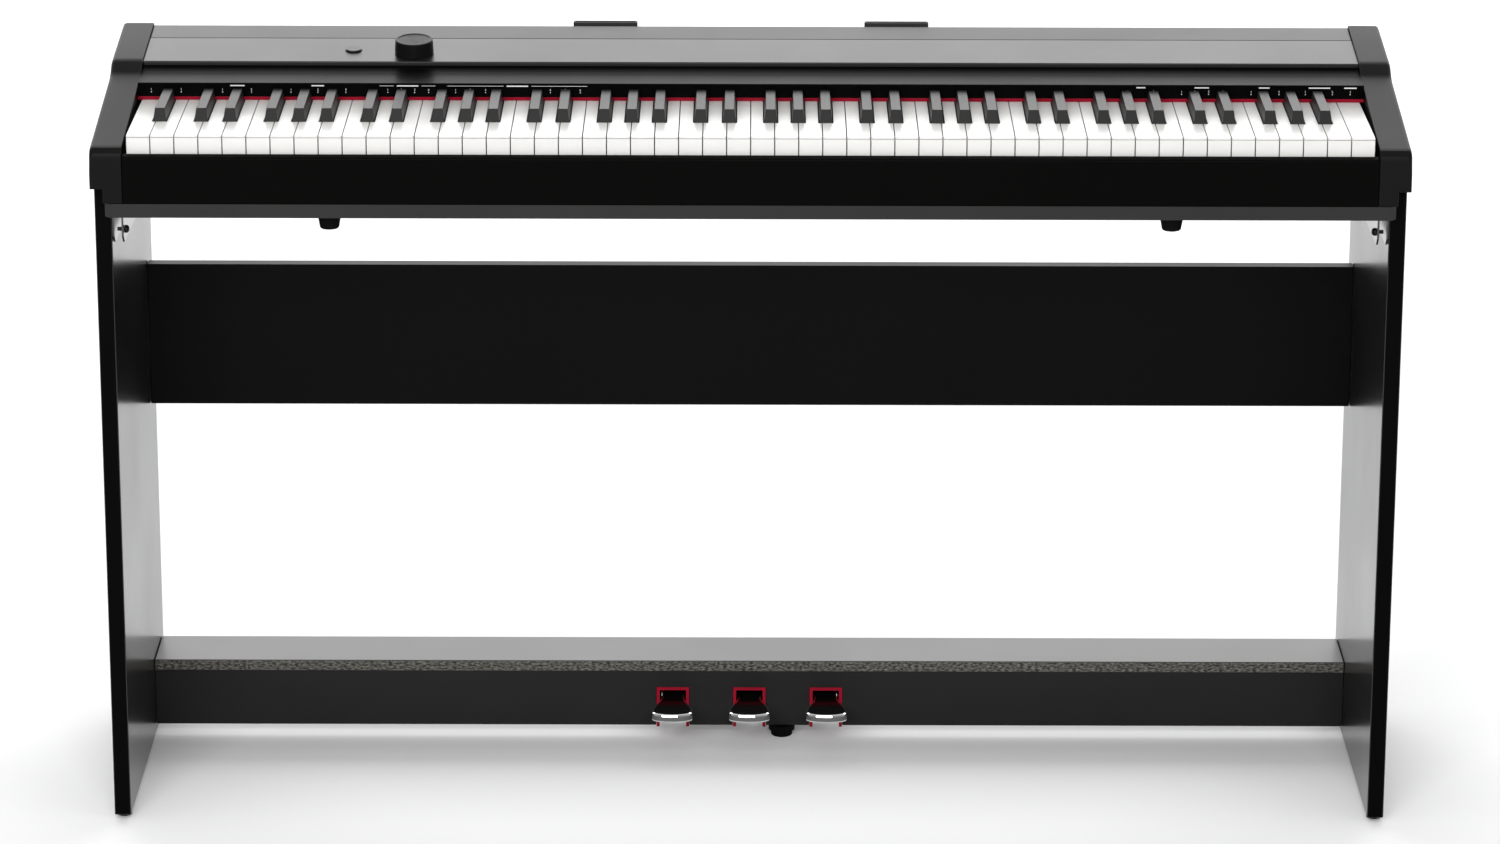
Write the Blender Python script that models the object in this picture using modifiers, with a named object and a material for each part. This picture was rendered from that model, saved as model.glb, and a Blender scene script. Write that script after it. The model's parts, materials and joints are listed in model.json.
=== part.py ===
"""Digital piano: a slab with an 88-key keyboard on a board stand with three pedals.

Metres, +Z up, +Y away from the player, origin on the floor under the middle of the stand.
"""
import math

import bmesh
import bpy
from mathutils import Matrix

# Gaps that every fit is made from
SEAT = 0.0003
ROD_CLEARANCE = 0.0003
MOVING_CLEARANCE = 0.001

# Keyboard: white keys
WHITE_PITCH = 0.0235
WHITE_SPACING = 0.0009
WHITE_SHOWN = 0.149
WHITE_HEAD = 0.0575
WHITE_THICKNESS = 0.013
WHITE_FRONT_HEIGHT = 0.0198
WHITE_LIP_WALL = 0.0025
WHITE_CORNER = 0.0012
WHITE_TOP_PLATE = 0.0018
WHITE_LIP_OVERHANG = 0.0008
WHITE_DIP = 0.010

# Keyboard: black keys
BLACK_SLOT = 0.015
BLACK_WIDTH = 0.013
BLACK_TOP_WIDTH = 0.0095
BLACK_RISE = 0.012
BLACK_SLANT = 0.0065
BLACK_FRONT_GAP = 0.0012
BLACK_TAIL_WIDTH = 0.011
BLACK_TAIL_DROP = 0.001

# Keyboard: hinge and the strips that join the keys of a moulded set
HINGE_SETBACK = 0.225
HINGE_ROD_RADIUS = 0.003
HINGE_WEB = 0.0024
TAIL_OVERHANG = 0.0065
WHITE_STRIP_DEPTH = 0.008
WHITE_STRIP_HEIGHT = 0.0045
STRIP_GAP = 0.002
BLACK_STRIP_DEPTH = 0.008

# Key sets from bass to treble: name, number of white keys, moulded as one set or single keys
KEY_SETS = (
    ("a0_b1", 9, True),
    ("c2_b3", 14, True),
    ("4", 7, False),
    ("c5_b6", 14, True),
    ("c7_c8", 8, True),
)
WHITE_COUNT = sum(count for _, count, _ in KEY_SETS)

# Slab: depths along Y
FRONT_Y = -0.180
SLAB_DEPTH = 0.330
SLIP_DEPTH = 0.008
SLIP_CLEARANCE = 0.002
LEDGE_DEPTH = 0.036
COVE_DEPTH = 0.020
CONTROL_PANEL_DEPTH = 0.071

# Slab: heights along Z
SLAB_BOTTOM_Z = 0.638
CASE_RIM_HEIGHT = 0.0138
KEY_TOP_HEIGHT = 0.0805
SLIP_BELOW_KEYS = 0.0176
FASCIA_HEIGHT = 0.0176
FELT_HEIGHT = 0.0031
LEDGE_RISE = 0.001
PANEL_RISE = 0.0267
PANEL_SLOPE = 0.114
PANEL_LIP_HEIGHT = 0.0042

# Slab: walls
CASE_WALL = 0.003
SLIP_WALL = 0.003
SLIP_FALL = 0.002
SLIP_EDGE = 0.0012
FASCIA_WALL = 0.0025
PANEL_WALL = 0.003
PANEL_REBATE = 0.010
PANEL_SEAM = 0.0009
PANEL_EDGE = 0.0008
COVER_WALL = 0.0025
REAR_CORNER = 0.006
LIP_OVERHANG = 0.0046
LIP_CHAMFER = 0.005

# Cheeks: the end blocks beside the keys
CHEEK_GAP = 0.0039
CHEEK_WIDTH = 0.0317
CHEEK_WALL = 0.003
CHEEK_NOSE_WIDTH = 0.019
CHEEK_NOSE_RISE = 0.042
CHEEK_NOSE_ROUND = 0.012
CHEEK_SLOPE = 0.151
CHEEK_PROUD = 0.0025
CHEEK_ROUND = 0.004
SKIRT_RISE = 0.0282

# Controls on the top panel
KNOB_INSET = 0.273
KNOB_SETBACK = 0.026
KNOB_RADIUS = 0.0197
KNOB_RIM = 0.001
KNOB_DISH = 0.0004
KNOB_DISH_WALL = 0.0028
KNOB_DISH_SLOPE = 0.0007
KNOB_TAPER = 0.0006
KNOB_SKIRT = 0.002
KNOB_HEIGHT = 0.015
KNOB_LIFT = 0.0006
KNOB_SHAFT_RADIUS = 0.003
KNOB_SHAFT_LENGTH = 0.013
BUTTON_INSET = 0.211
BUTTON_SETBACK = 0.034
BUTTON_RADIUS = 0.00825
BUTTON_EASE = 0.0008
BUTTON_FLANGE_REACH = 0.0015
BUTTON_FLANGE_WALL = 0.0012
BUTTON_HEIGHT = 0.002
BUTTON_TRAVEL = 0.0015
BUTTON_STEM_RADIUS = 0.002

# Boards and sockets inside the slab
MAIN_BOARD_DROP = 0.016
MAIN_BOARD_THICKNESS = 0.0016
MAIN_BOARD_INSET = 0.025
MAIN_BOARD_LENGTH = 0.290
MAIN_BOARD_FRONT = 0.012
POT_RADIUS = 0.008
POT_HEIGHT = 0.009
SWITCH_SIZE = 0.010
SWITCH_HEIGHT = 0.006
JACK_PANEL_LENGTH = 0.160
JACK_PANEL_HEIGHT = 0.024
JACK_PANEL_WALL = 0.0025
JACK_FLANGE = 0.003
JACK_DROP = 0.0215
JACK_PITCH = 0.024
JACK_RADIUS = 0.0035
JACK_BODY_DEPTH = 0.012
CONTACT_BOARD_DEPTH = 0.040
CONTACT_RAMP = 0.003
CONTACT_BOARD_WALL = 0.0016
CONTACT_HUMP_HEIGHT = 0.018

# Speakers in the floor of the case
SPEAKER_X = 0.500
SPEAKER_SETBACK = 0.120
SPEAKER_RADIUS = 0.042
SPEAKER_RIM = 0.003
SPEAKER_DEPTH = 0.026
GRILLE_SLOTS = 5
GRILLE_SLOT_WIDTH = 0.004
GRILLE_SLOT_LENGTH = 0.052
GRILLE_PITCH = 0.011

# Key chassis
CHASSIS_WALL = 0.003
CHASSIS_SHELF_HEIGHT = 0.034
CHASSIS_FRONT = 0.018
CHASSIS_RAIL_DEPTH = 0.012
CHASSIS_SIDE = 0.0015

# Music-rest holders on the back of the slab
HOLDER_X = 0.150
HOLDER_LENGTH = 0.066
HOLDER_HEIGHT = 0.028
HOLDER_WALL = 0.0018
HOLDER_SLOT = 0.0046
HOLDER_PROUD = 0.0022
HOLDER_FLOOR = 0.003

# Rubber feet under the slab
FOOT_X = 0.415
FOOT_FRONT_SETBACK = 0.032
FOOT_REAR_INSET = 0.040
FOOT_TOP_RADIUS = 0.0125
FOOT_BOTTOM_RADIUS = 0.0095
FOOT_HEIGHT = 0.0175

# Stand boards
BOARD_THICKNESS = 0.0167
SIDE_INSET = 0.0015
STAND_SETBACK = 0.022
STAND_DEPTH = 0.338
BOARD_EDGE = 0.0008
GLIDE_HEIGHT = 0.0045
GLIDE_RADIUS = 0.0075
GLIDE_INSET = 0.016
MODESTY_SETBACK = 0.286
MODESTY_THICKNESS = 0.017
MODESTY_TOP_Z = 0.507
MODESTY_HEIGHT = 0.1515
SHELF_SETBACK = 0.246
SHELF_DEPTH = 0.077
SHELF_TOP_Z = 0.0853
SHELF_THICKNESS = 0.012
FRONT_BOARD_SETBACK = 0.002
FRONT_BOARD_THICKNESS = 0.015
FRONT_BOARD_BOTTOM_Z = 0.0127

# Pedals
PEDAL_SPACING = 0.081
PEDAL_WIDTH = 0.044
PEDAL_NECK = 0.025
PEDAL_REACH = 0.060
PEDAL_FLARE = 0.050
PEDAL_NOSE = 0.011
PEDAL_THICKNESS = 0.0092
PEDAL_TOP_Z = 0.0452
PEDAL_PIVOT_SETBACK = 0.060
PEDAL_HUB_RADIUS = 0.008
PEDAL_ROD_RADIUS = 0.003
PEDAL_EDGE = 0.0022
SLOT_WIDTH = 0.035
SLOT_TOP_Z = 0.0552
SLOT_FELT = 0.0032
SLOT_FELT_BELOW = 0.0017
PEDAL_BASE_WALL = 0.0023
PEDAL_BASE_SETBACK = 0.003
PEDAL_EAR_WALL = 0.003
PEDAL_EAR_DEPTH = 0.018
PEDAL_TRAY_DROP = 0.010
PEDAL_BASE_SIDE = 0.0085

# Adjuster foot under the pedal board
ADJUSTER_X = 0.0343
ADJUSTER_RADIUS = 0.0138
ADJUSTER_BASE_RADIUS = 0.0112
ADJUSTER_HEIGHT = 0.0123
ADJUSTER_KNURL_HEIGHT = 0.0062
ADJUSTER_TEETH = 18
ADJUSTER_TOOTH = 0.0008
ADJUSTER_STUD_RADIUS = 0.004
ADJUSTER_STUD_LENGTH = 0.020

# Steel brackets that hold the slab between the side boards
BRACKET_WALL = 0.002
BRACKET_WIDTH = 0.0111
BRACKET_DEPTH = 0.110
BRACKET_HEIGHT = 0.032
BRACKET_CORNER = 0.008
SCREW_SETBACK = 0.010
SCREW_DROP = 0.0193
SCREW_HEAD_RADIUS = 0.004
SCREW_HEAD_LENGTH = 0.0045
SCREW_SHANK_RADIUS = 0.002
SCREW_HOLE_CLEARANCE = 0.0004

# Places along Y that follow from the sizes above
KEY_FRONT_Y = FRONT_Y + SLIP_DEPTH + SLIP_CLEARANCE
HEAD_BACK_Y = KEY_FRONT_Y + WHITE_HEAD
FASCIA_Y = KEY_FRONT_Y + WHITE_SHOWN
BLACK_FRONT_Y = HEAD_BACK_Y + BLACK_FRONT_GAP
BLACK_END_Y = FASCIA_Y - MOVING_CLEARANCE
HINGE_Y = KEY_FRONT_Y + HINGE_SETBACK
TAIL_END_Y = HINGE_Y + TAIL_OVERHANG
WHITE_STRIP_END_Y = TAIL_END_Y + WHITE_STRIP_DEPTH
BLACK_STRIP_Y = WHITE_STRIP_END_Y + STRIP_GAP
BLACK_STRIP_END_Y = BLACK_STRIP_Y + BLACK_STRIP_DEPTH
LEDGE_BACK_Y = FASCIA_Y + LEDGE_DEPTH
PANEL_FRONT_Y = LEDGE_BACK_Y + COVE_DEPTH
PANEL_BACK_Y = PANEL_FRONT_Y + CONTROL_PANEL_DEPTH
REAR_Y = FRONT_Y + SLAB_DEPTH
STAND_FRONT_Y = FRONT_Y + STAND_SETBACK
STAND_BACK_Y = STAND_FRONT_Y + STAND_DEPTH
MODESTY_Y = STAND_FRONT_Y + MODESTY_SETBACK
SHELF_Y = STAND_FRONT_Y + SHELF_SETBACK
SHELF_BACK_Y = SHELF_Y + SHELF_DEPTH
FRONT_BOARD_Y = SHELF_Y + FRONT_BOARD_SETBACK
FRONT_BOARD_BACK_Y = FRONT_BOARD_Y + FRONT_BOARD_THICKNESS
PEDAL_TIP_Y = FRONT_BOARD_Y - PEDAL_REACH
PEDAL_PIVOT_Y = FRONT_BOARD_Y + PEDAL_PIVOT_SETBACK

# Heights that follow
CASE_FLOOR_Z = SLAB_BOTTOM_Z + CASE_WALL
CASE_RIM_Z = SLAB_BOTTOM_Z + CASE_RIM_HEIGHT
KEY_TOP_Z = SLAB_BOTTOM_Z + KEY_TOP_HEIGHT
KEY_BOTTOM_Z = KEY_TOP_Z - WHITE_THICKNESS
HINGE_Z = KEY_BOTTOM_Z
WHITE_LIP_Z = KEY_TOP_Z - WHITE_FRONT_HEIGHT
WHITE_STRIP_TOP_Z = KEY_BOTTOM_Z + WHITE_STRIP_HEIGHT
BLACK_STRIP_Z = WHITE_STRIP_TOP_Z + STRIP_GAP
BLACK_TAIL_TOP_Z = KEY_TOP_Z - BLACK_TAIL_DROP
SLIP_TOP_Z = KEY_TOP_Z - SLIP_BELOW_KEYS
LEDGE_Z = KEY_TOP_Z + FASCIA_HEIGHT
FELT_BOTTOM_Z = KEY_TOP_Z + SEAT
FELT_TOP_Z = FELT_BOTTOM_Z + FELT_HEIGHT
PANEL_FRONT_Z = KEY_TOP_Z + PANEL_RISE
PANEL_LIP_Z = PANEL_FRONT_Z - PANEL_LIP_HEIGHT
SIDE_TOP_Z = SLAB_BOTTOM_Z + SKIRT_RISE
SKIRT_Z = SIDE_TOP_Z + SEAT
CHEEK_NOSE_Z = SKIRT_Z + CHEEK_NOSE_RISE
CHASSIS_SHELF_Z = CASE_FLOOR_Z + CHASSIS_SHELF_HEIGHT
SHELF_BOTTOM_Z = SHELF_TOP_Z - SHELF_THICKNESS
PEDAL_PIVOT_Z = PEDAL_TOP_Z - PEDAL_THICKNESS / 2
PANEL_TILT = math.atan(PANEL_SLOPE)

# Places along X that follow
KEYBOARD_HALF = WHITE_COUNT * WHITE_PITCH / 2
CHEEK_INNER_X = KEYBOARD_HALF + CHEEK_GAP
CHEEK_OUTER_X = CHEEK_INNER_X + CHEEK_WIDTH
SIDE_OUTER_X = CHEEK_OUTER_X - SIDE_INSET
SIDE_INNER_X = SIDE_OUTER_X - BOARD_THICKNESS
CASE_HALF = SIDE_INNER_X - SEAT
SLAB_INNER_HALF = CHEEK_INNER_X - SEAT
STAND_INNER_HALF = SIDE_INNER_X - SEAT
KNOB_X = KNOB_INSET - CHEEK_INNER_X
KNOB_Y = PANEL_FRONT_Y + KNOB_SETBACK
BUTTON_X = BUTTON_INSET - CHEEK_INNER_X
BUTTON_Y = PANEL_FRONT_Y + BUTTON_SETBACK

# Roundness of turned pieces, and how far a cutter passes the piece it cuts
SEGMENTS = 24
PIN_SEGMENTS = 12
PAST = 0.002

# Finishes: base colour, roughness, metallic
FINISHES = {
    "ivory": ((0.90, 0.89, 0.86), 0.25, 0.0),
    "ebony": ((0.020, 0.020, 0.021), 0.35, 0.0),
    "shell": ((0.022, 0.022, 0.023), 0.38, 0.0),
    "panel": ((0.030, 0.030, 0.031), 0.33, 0.0),
    "laminate": ((0.016, 0.016, 0.017), 0.30, 0.0),
    "felt": ((0.42, 0.010, 0.035), 0.95, 0.0),
    "chrome": ((0.82, 0.82, 0.83), 0.08, 1.0),
    "knob": ((0.10, 0.10, 0.105), 0.35, 0.6),
    "steel": ((0.32, 0.32, 0.33), 0.35, 1.0),
    "rubber": ((0.015, 0.015, 0.015), 0.85, 0.0),
    "board_green": ((0.02, 0.16, 0.07), 0.5, 0.0),
    "frame": ((0.06, 0.06, 0.06), 0.6, 0.0),
    "speaker": ((0.05, 0.05, 0.05), 0.6, 0.3),
}


def clear_scene():
    """Remove whatever the file holds and make the two collections."""
    for item in list(bpy.data.objects):
        bpy.data.objects.remove(item, do_unlink=True)
    made = []
    for name in ("digital_piano", "cutters"):
        old = bpy.data.collections.get(name)
        if old:
            bpy.data.collections.remove(old)
        collection = bpy.data.collections.new(name)
        bpy.context.scene.collection.children.link(collection)
        made.append(collection)
    return made


PARTS, CUTTERS = clear_scene()


def material(name, finish):
    """One Principled material for one piece."""
    colour, roughness, metallic = FINISHES[finish]
    made = bpy.data.materials.new(name)
    made.use_nodes = True
    shader = made.node_tree.nodes["Principled BSDF"]
    shader.inputs["Base Color"].default_value = (*colour, 1.0)
    shader.inputs["Roughness"].default_value = roughness
    shader.inputs["Metallic"].default_value = metallic
    made.diffuse_color = (*colour, 1.0)
    return made


def place(name, mesh, finish):
    """Link a mesh as a piece, or as a hidden cutter when it has no finish."""
    piece = bpy.data.objects.new(name, mesh)
    if finish:
        mesh.materials.append(material(name, finish))
        PARTS.objects.link(piece)
    else:
        CUTTERS.objects.link(piece)
        piece.hide_render = True
        piece.display_type = "WIRE"
    return piece


def block(name, finish, x, y, z):
    """A box between three (low, high) spans."""
    mesh = bpy.data.meshes.new(name)
    form = bmesh.new()
    bmesh.ops.create_cube(form, size=1.0)
    sizes = [span[1] - span[0] for span in (x, y, z)]
    bmesh.ops.scale(form, vec=sizes, verts=form.verts)
    form.to_mesh(mesh)
    form.free()
    piece = place(name, mesh, finish)
    piece.location = [(span[0] + span[1]) / 2 for span in (x, y, z)]
    return piece


def prism(name, finish, outline, span, axis):
    """A flat outline made one face and extruded along X (outline in y, z) or Z (in x, y)."""
    mesh = bpy.data.meshes.new(name)
    form = bmesh.new()
    corners = []
    for u, v in outline:
        point = (0.0, u, v) if axis == "X" else (u, v, 0.0)
        corners.append(form.verts.new(point))
    face = form.faces.new(corners)
    swept = bmesh.ops.extrude_face_region(form, geom=[face])
    moved = [item for item in swept["geom"] if isinstance(item, bmesh.types.BMVert)]
    thickness = span[1] - span[0]
    bmesh.ops.translate(form, vec=(thickness, 0, 0) if axis == "X" else (0, 0, thickness), verts=moved)
    bmesh.ops.recalc_face_normals(form, faces=form.faces)
    form.to_mesh(mesh)
    form.free()
    piece = place(name, mesh, finish)
    piece.location = (span[0], 0, 0) if axis == "X" else (0, 0, span[0])
    return piece


def turned(name, finish, profile, origin, rotation=(0.0, 0.0, 0.0), segments=SEGMENTS):
    """A (radius, height) profile swept round its own Z axis, outer side top to bottom."""
    mesh = bpy.data.meshes.new(name)
    points = [(radius, 0.0, height) for radius, height in profile]
    edges = [(i, i + 1) for i in range(len(points) - 1)]
    if profile[0][0] > 0.0:
        edges.append((len(points) - 1, 0))
    mesh.from_pydata(points, edges, [])
    piece = place(name, mesh, finish)
    sweep = piece.modifiers.new("sweep", "SCREW")
    sweep.steps = segments
    sweep.render_steps = segments
    sweep.use_merge_vertices = True
    sweep.merge_threshold = 0.000005
    piece.location = origin
    piece.rotation_euler = rotation
    return piece


def rod(name, finish, radius, span, origin, rotation=(0.0, 0.0, 0.0), segments=PIN_SEGMENTS):
    """A plain round bar between two heights of its own Z axis."""
    low, high = span
    profile = [(0.0, high), (radius, high), (radius, low), (0.0, low)]
    return turned(name, finish, profile, origin, rotation, segments)


def sheet(name, finish, path, x_span, wall, side):
    """A bent strip: an open path in (y, z), drawn along X and thickened to one side."""
    mesh = bpy.data.meshes.new(name)
    form = bmesh.new()
    low = [form.verts.new((x_span[0], y, z)) for y, z in path]
    line = [form.edges.new(pair) for pair in zip(low, low[1:])]
    swept = bmesh.ops.extrude_edge_only(form, edges=line)
    moved = [item for item in swept["geom"] if isinstance(item, bmesh.types.BMVert)]
    bmesh.ops.translate(form, vec=(x_span[1] - x_span[0], 0, 0), verts=moved)
    form.to_mesh(mesh)
    form.free()
    piece = place(name, mesh, finish)
    shell = piece.modifiers.new("wall", "SOLIDIFY")
    shell.thickness = wall
    shell.offset = side
    shell.use_even_offset = True
    return piece


def combine(piece, other, operation):
    """Cut one piece with another, or fuse the two, with an exact Boolean."""
    step = piece.modifiers.new(operation.lower(), "BOOLEAN")
    step.operation = operation
    step.solver = "EXACT"
    step.object = other
    return piece


def cut(piece, *cutters):
    for cutter in cutters:
        combine(piece, cutter, "DIFFERENCE")
    return piece


def fuse(piece, *others):
    for other in others:
        combine(piece, other, "UNION")
    return piece


def ease_edges(piece, width, segments=1, angle=math.radians(40)):
    """Break the sharp edges of a plain piece."""
    bevel = piece.modifiers.new("edges", "BEVEL")
    bevel.width = width
    bevel.segments = segments
    bevel.limit_method = "ANGLE"
    bevel.angle_limit = angle
    return piece


def move_origin(piece, point):
    """Put a piece's origin on its joint's axis and leave its shape where it is."""
    shift = Matrix.Translation(point).inverted() @ piece.matrix_basis
    piece.data.transform(shift)
    piece.matrix_basis = Matrix.Translation(point)
    return piece


def surface_z(y):
    """Height of the sloping top surface of the slab."""
    return PANEL_FRONT_Z + PANEL_SLOPE * (y - PANEL_FRONT_Y)


def on_panel(x, y, above=0.0):
    """A point at a height above the top surface, square to it."""
    return (x, y - math.sin(PANEL_TILT) * above, surface_z(y) + math.cos(PANEL_TILT) * above)


def arc(centre, radius, start_deg, end_deg, steps):
    """Points of a round stretch."""
    points = []
    for i in range(steps + 1):
        angle = math.radians(start_deg + (end_deg - start_deg) * i / steps)
        points.append((centre[0] + radius * math.cos(angle), centre[1] + radius * math.sin(angle)))
    return points


# Keys

LETTERS = "CDEFGAB"
FIRST_LETTER = 5
GROUPS = {"C": (0, 3), "D": (1, 3), "E": (2, 3), "F": (0, 4), "G": (1, 4), "A": (2, 4), "B": (3, 4)}


def letter_of(index):
    return LETTERS[(index + FIRST_LETTER) % len(LETTERS)]


def white_left(index):
    return (index - WHITE_COUNT / 2) * WHITE_PITCH


def group_layout(index):
    """Place in the group, size of the group, left edge of the group and width of a tail."""
    place_in, count = GROUPS[letter_of(index)]
    tail = (count * WHITE_PITCH - (count - 1) * BLACK_SLOT) / count
    return place_in, count, white_left(index - place_in), tail


def tail_span(index):
    """Left and right side of a white key between the black keys."""
    place_in, count, start, tail = group_layout(index)
    low = start + place_in * (tail + BLACK_SLOT)
    high = low + tail
    if place_in == 0 or index == 0:
        low = white_left(index) + WHITE_SPACING / 2
    if place_in == count - 1 or index == WHITE_COUNT - 1:
        high = white_left(index + 1) - WHITE_SPACING / 2
    return low, high


def has_black(index):
    """True when a black key stands between this white key and the next."""
    place_in, count, _, _ = group_layout(index)
    return place_in < count - 1 and index < WHITE_COUNT - 1


def black_centre(index):
    place_in, _, start, tail = group_layout(index)
    return start + (place_in + 1) * tail + (place_in + 0.5) * BLACK_SLOT


def white_outline(index, back_y):
    """Plan of one white key from its left rear corner round its front."""
    tail_low, tail_high = tail_span(index)
    low = white_left(index) + WHITE_SPACING / 2
    high = white_left(index + 1) - WHITE_SPACING / 2
    points = [(tail_low, back_y)]
    if tail_low > low + WHITE_SPACING:
        points += [(tail_low, HEAD_BACK_Y), (low, HEAD_BACK_Y)]
    points += [
        (low, KEY_FRONT_Y + WHITE_CORNER),
        (low + WHITE_CORNER, KEY_FRONT_Y),
        (high - WHITE_CORNER, KEY_FRONT_Y),
        (high, KEY_FRONT_Y + WHITE_CORNER),
    ]
    if tail_high < high - WHITE_SPACING:
        points += [(high, HEAD_BACK_Y), (tail_high, HEAD_BACK_Y)]
    points.append((tail_high, back_y))
    return points


def hinge_groove(name, x_span):
    """Cutter for the open groove that sits over the hinge rod."""
    reach = (HINGE_ROD_RADIUS + ROD_CLEARANCE) / math.cos(math.pi / PIN_SEGMENTS)
    half_turn = arc((HINGE_Y, HINGE_Z), reach, 0, 180, PIN_SEGMENTS // 2)
    outline = half_turn + [(HINGE_Y - reach, HINGE_Z - PAST), (HINGE_Y + reach, HINGE_Z - PAST)]
    return prism(name + "_groove", None, outline, x_span, "X")


def white_keys(name, indices, as_set):
    """One white key, or a moulded set joined by a strip behind the hinge."""
    x_low = tail_span(indices[0])[0]
    x_high = tail_span(indices[-1])[1]
    across = (white_left(indices[0]) - PAST, white_left(indices[-1] + 1) + PAST)
    outline = []
    for index in indices:
        outline += white_outline(index, TAIL_END_Y)
    if as_set:
        outline += [(x_high, WHITE_STRIP_END_Y), (x_low, WHITE_STRIP_END_Y)]
    keys = prism(name, "ivory", outline, (WHITE_LIP_Z, KEY_TOP_Z), "Z")
    under = block(name + "_under", None, across, (KEY_FRONT_Y + WHITE_LIP_WALL, BLACK_STRIP_END_Y),
                  (WHITE_LIP_Z - PAST, KEY_BOTTOM_Z))
    front = block(name + "_front", None, across, (KEY_FRONT_Y - PAST, KEY_FRONT_Y + WHITE_LIP_OVERHANG),
                  (WHITE_LIP_Z - PAST, KEY_TOP_Z - WHITE_TOP_PLATE))
    cut(keys, under, front, hinge_groove(name, across))
    if as_set:
        cut(keys, block(name + "_over", None, across, (TAIL_END_Y, BLACK_STRIP_END_Y),
                        (WHITE_STRIP_TOP_Z, KEY_TOP_Z + PAST)))
    return move_origin(keys, ((x_low + x_high) / 2, HINGE_Y, HINGE_Z))


def ring(half_width, front, back, height):
    """Four corners of a level rectangle in a key's own X, Y and Z."""
    return [(-half_width, front, height), (half_width, front, height), (half_width, back, height),
            (-half_width, back, height)]


def black_cap(name, centre):
    """The part of a black key that is played: straight below, tapered and slanted above."""
    length = BLACK_END_Y - BLACK_FRONT_Y
    rings = (
        ring(BLACK_WIDTH / 2, 0.0, length, 0.0),
        ring(BLACK_WIDTH / 2, 0.0, length, WHITE_THICKNESS),
        ring(BLACK_TOP_WIDTH / 2, BLACK_SLANT, length, WHITE_THICKNESS + BLACK_RISE),
    )
    mesh = bpy.data.meshes.new(name)
    form = bmesh.new()
    loops = [[form.verts.new(corner) for corner in level] for level in rings]
    form.faces.new(reversed(loops[0]))
    form.faces.new(loops[-1])
    for lower, upper in zip(loops, loops[1:]):
        for i in range(4):
            j = (i + 1) % 4
            form.faces.new((lower[i], lower[j], upper[j], upper[i]))
    form.to_mesh(mesh)
    form.free()
    cap = place(name, mesh, None)
    cap.location = (centre, BLACK_FRONT_Y, KEY_BOTTOM_Z)
    return cap


def black_keys(name, centres, as_set):
    """One black key, or a moulded set joined by a strip behind the white keys' strip."""
    half = BLACK_TAIL_WIDTH / 2
    tail_front = (BLACK_FRONT_Y + BLACK_END_Y) / 2
    tail_back = BLACK_STRIP_Y if as_set else TAIL_END_Y
    across = (centres[0] - BLACK_WIDTH, centres[-1] + BLACK_WIDTH)
    outline = []
    for x in centres:
        outline += [(x - half, tail_back), (x - half, tail_front)]
        outline += [(x + half, tail_front), (x + half, tail_back)]
    if as_set:
        outline += [(centres[-1] + half, BLACK_STRIP_END_Y), (centres[0] - half, BLACK_STRIP_END_Y)]
    keys = prism(name, "ebony", outline, (KEY_BOTTOM_Z, BLACK_TAIL_TOP_Z), "Z")
    for number, x in enumerate(centres):
        fuse(keys, black_cap("%s_cap_%d" % (name, number), x))
    cut(keys, hinge_groove(name, across))
    if as_set:
        under_y = (TAIL_END_Y - MOVING_CLEARANCE, BLACK_STRIP_END_Y + PAST)
        cut(keys, block(name + "_under", None, across, under_y, (KEY_BOTTOM_Z - PAST, BLACK_STRIP_Z)))
    return move_origin(keys, ((centres[0] + centres[-1]) / 2, HINGE_Y, HINGE_Z))


def keyboard():
    """All 88 keys: the octave from middle C as single keys, the rest as moulded sets."""
    first = 0
    for label, count, as_set in KEY_SETS:
        indices = list(range(first, first + count))
        blacks = [index for index in indices if has_black(index)]
        if as_set:
            white_keys("white_keys_" + label, indices, True)
            black_keys("black_keys_" + label, [black_centre(index) for index in blacks], True)
        else:
            for index in indices:
                white_keys("white_key_%s%s" % (letter_of(index).lower(), label), [index], False)
            for index in blacks:
                black_keys("black_key_%ssharp%s" % (letter_of(index).lower(), label),
                           [black_centre(index)], False)
        first += count


# Slab

def bottom_case():
    """Shallow tray with a wider front lip and slotted speaker grilles in its floor."""
    reach = CASE_HALF + LIP_OVERHANG
    lip_back = FRONT_Y + SLIP_DEPTH - SEAT
    tray = prism("bottom_case", "shell", [
        (-reach + LIP_CHAMFER, FRONT_Y), (reach - LIP_CHAMFER, FRONT_Y), (reach, FRONT_Y + LIP_CHAMFER),
        (reach, lip_back), (CASE_HALF, lip_back), (CASE_HALF, REAR_Y), (-CASE_HALF, REAR_Y),
        (-CASE_HALF, lip_back), (-reach, lip_back), (-reach, FRONT_Y + LIP_CHAMFER),
    ], (SLAB_BOTTOM_Z, CASE_RIM_Z), "Z")
    inner = CASE_HALF - CASE_WALL
    cut(tray, block("case_hollow", None, (-inner, inner), (FRONT_Y + SLIP_DEPTH, REAR_Y - CASE_WALL),
                    (CASE_FLOOR_Z, CASE_RIM_Z + PAST)))
    slot_z = (SLAB_BOTTOM_Z - PAST, CASE_FLOOR_Z + PAST)
    half = GRILLE_SLOT_WIDTH / 2
    for side in (-1, 1):
        for number in range(GRILLE_SLOTS):
            offset = (number - (GRILLE_SLOTS - 1) / 2) * GRILLE_PITCH
            reach = GRILLE_SLOT_LENGTH / 2 - abs(offset) / 3
            middle = (side * SPEAKER_X + offset, FRONT_Y + SPEAKER_SETBACK)
            front = arc((middle[0], middle[1] - reach), half, 180, 360, 4)
            back = arc((middle[0], middle[1] + reach), half, 0, 180, 4)
            cut(tray, prism("grille_%d_%d" % (side + 1, number), None, front + back, slot_z, "Z"))
    return tray


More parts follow.
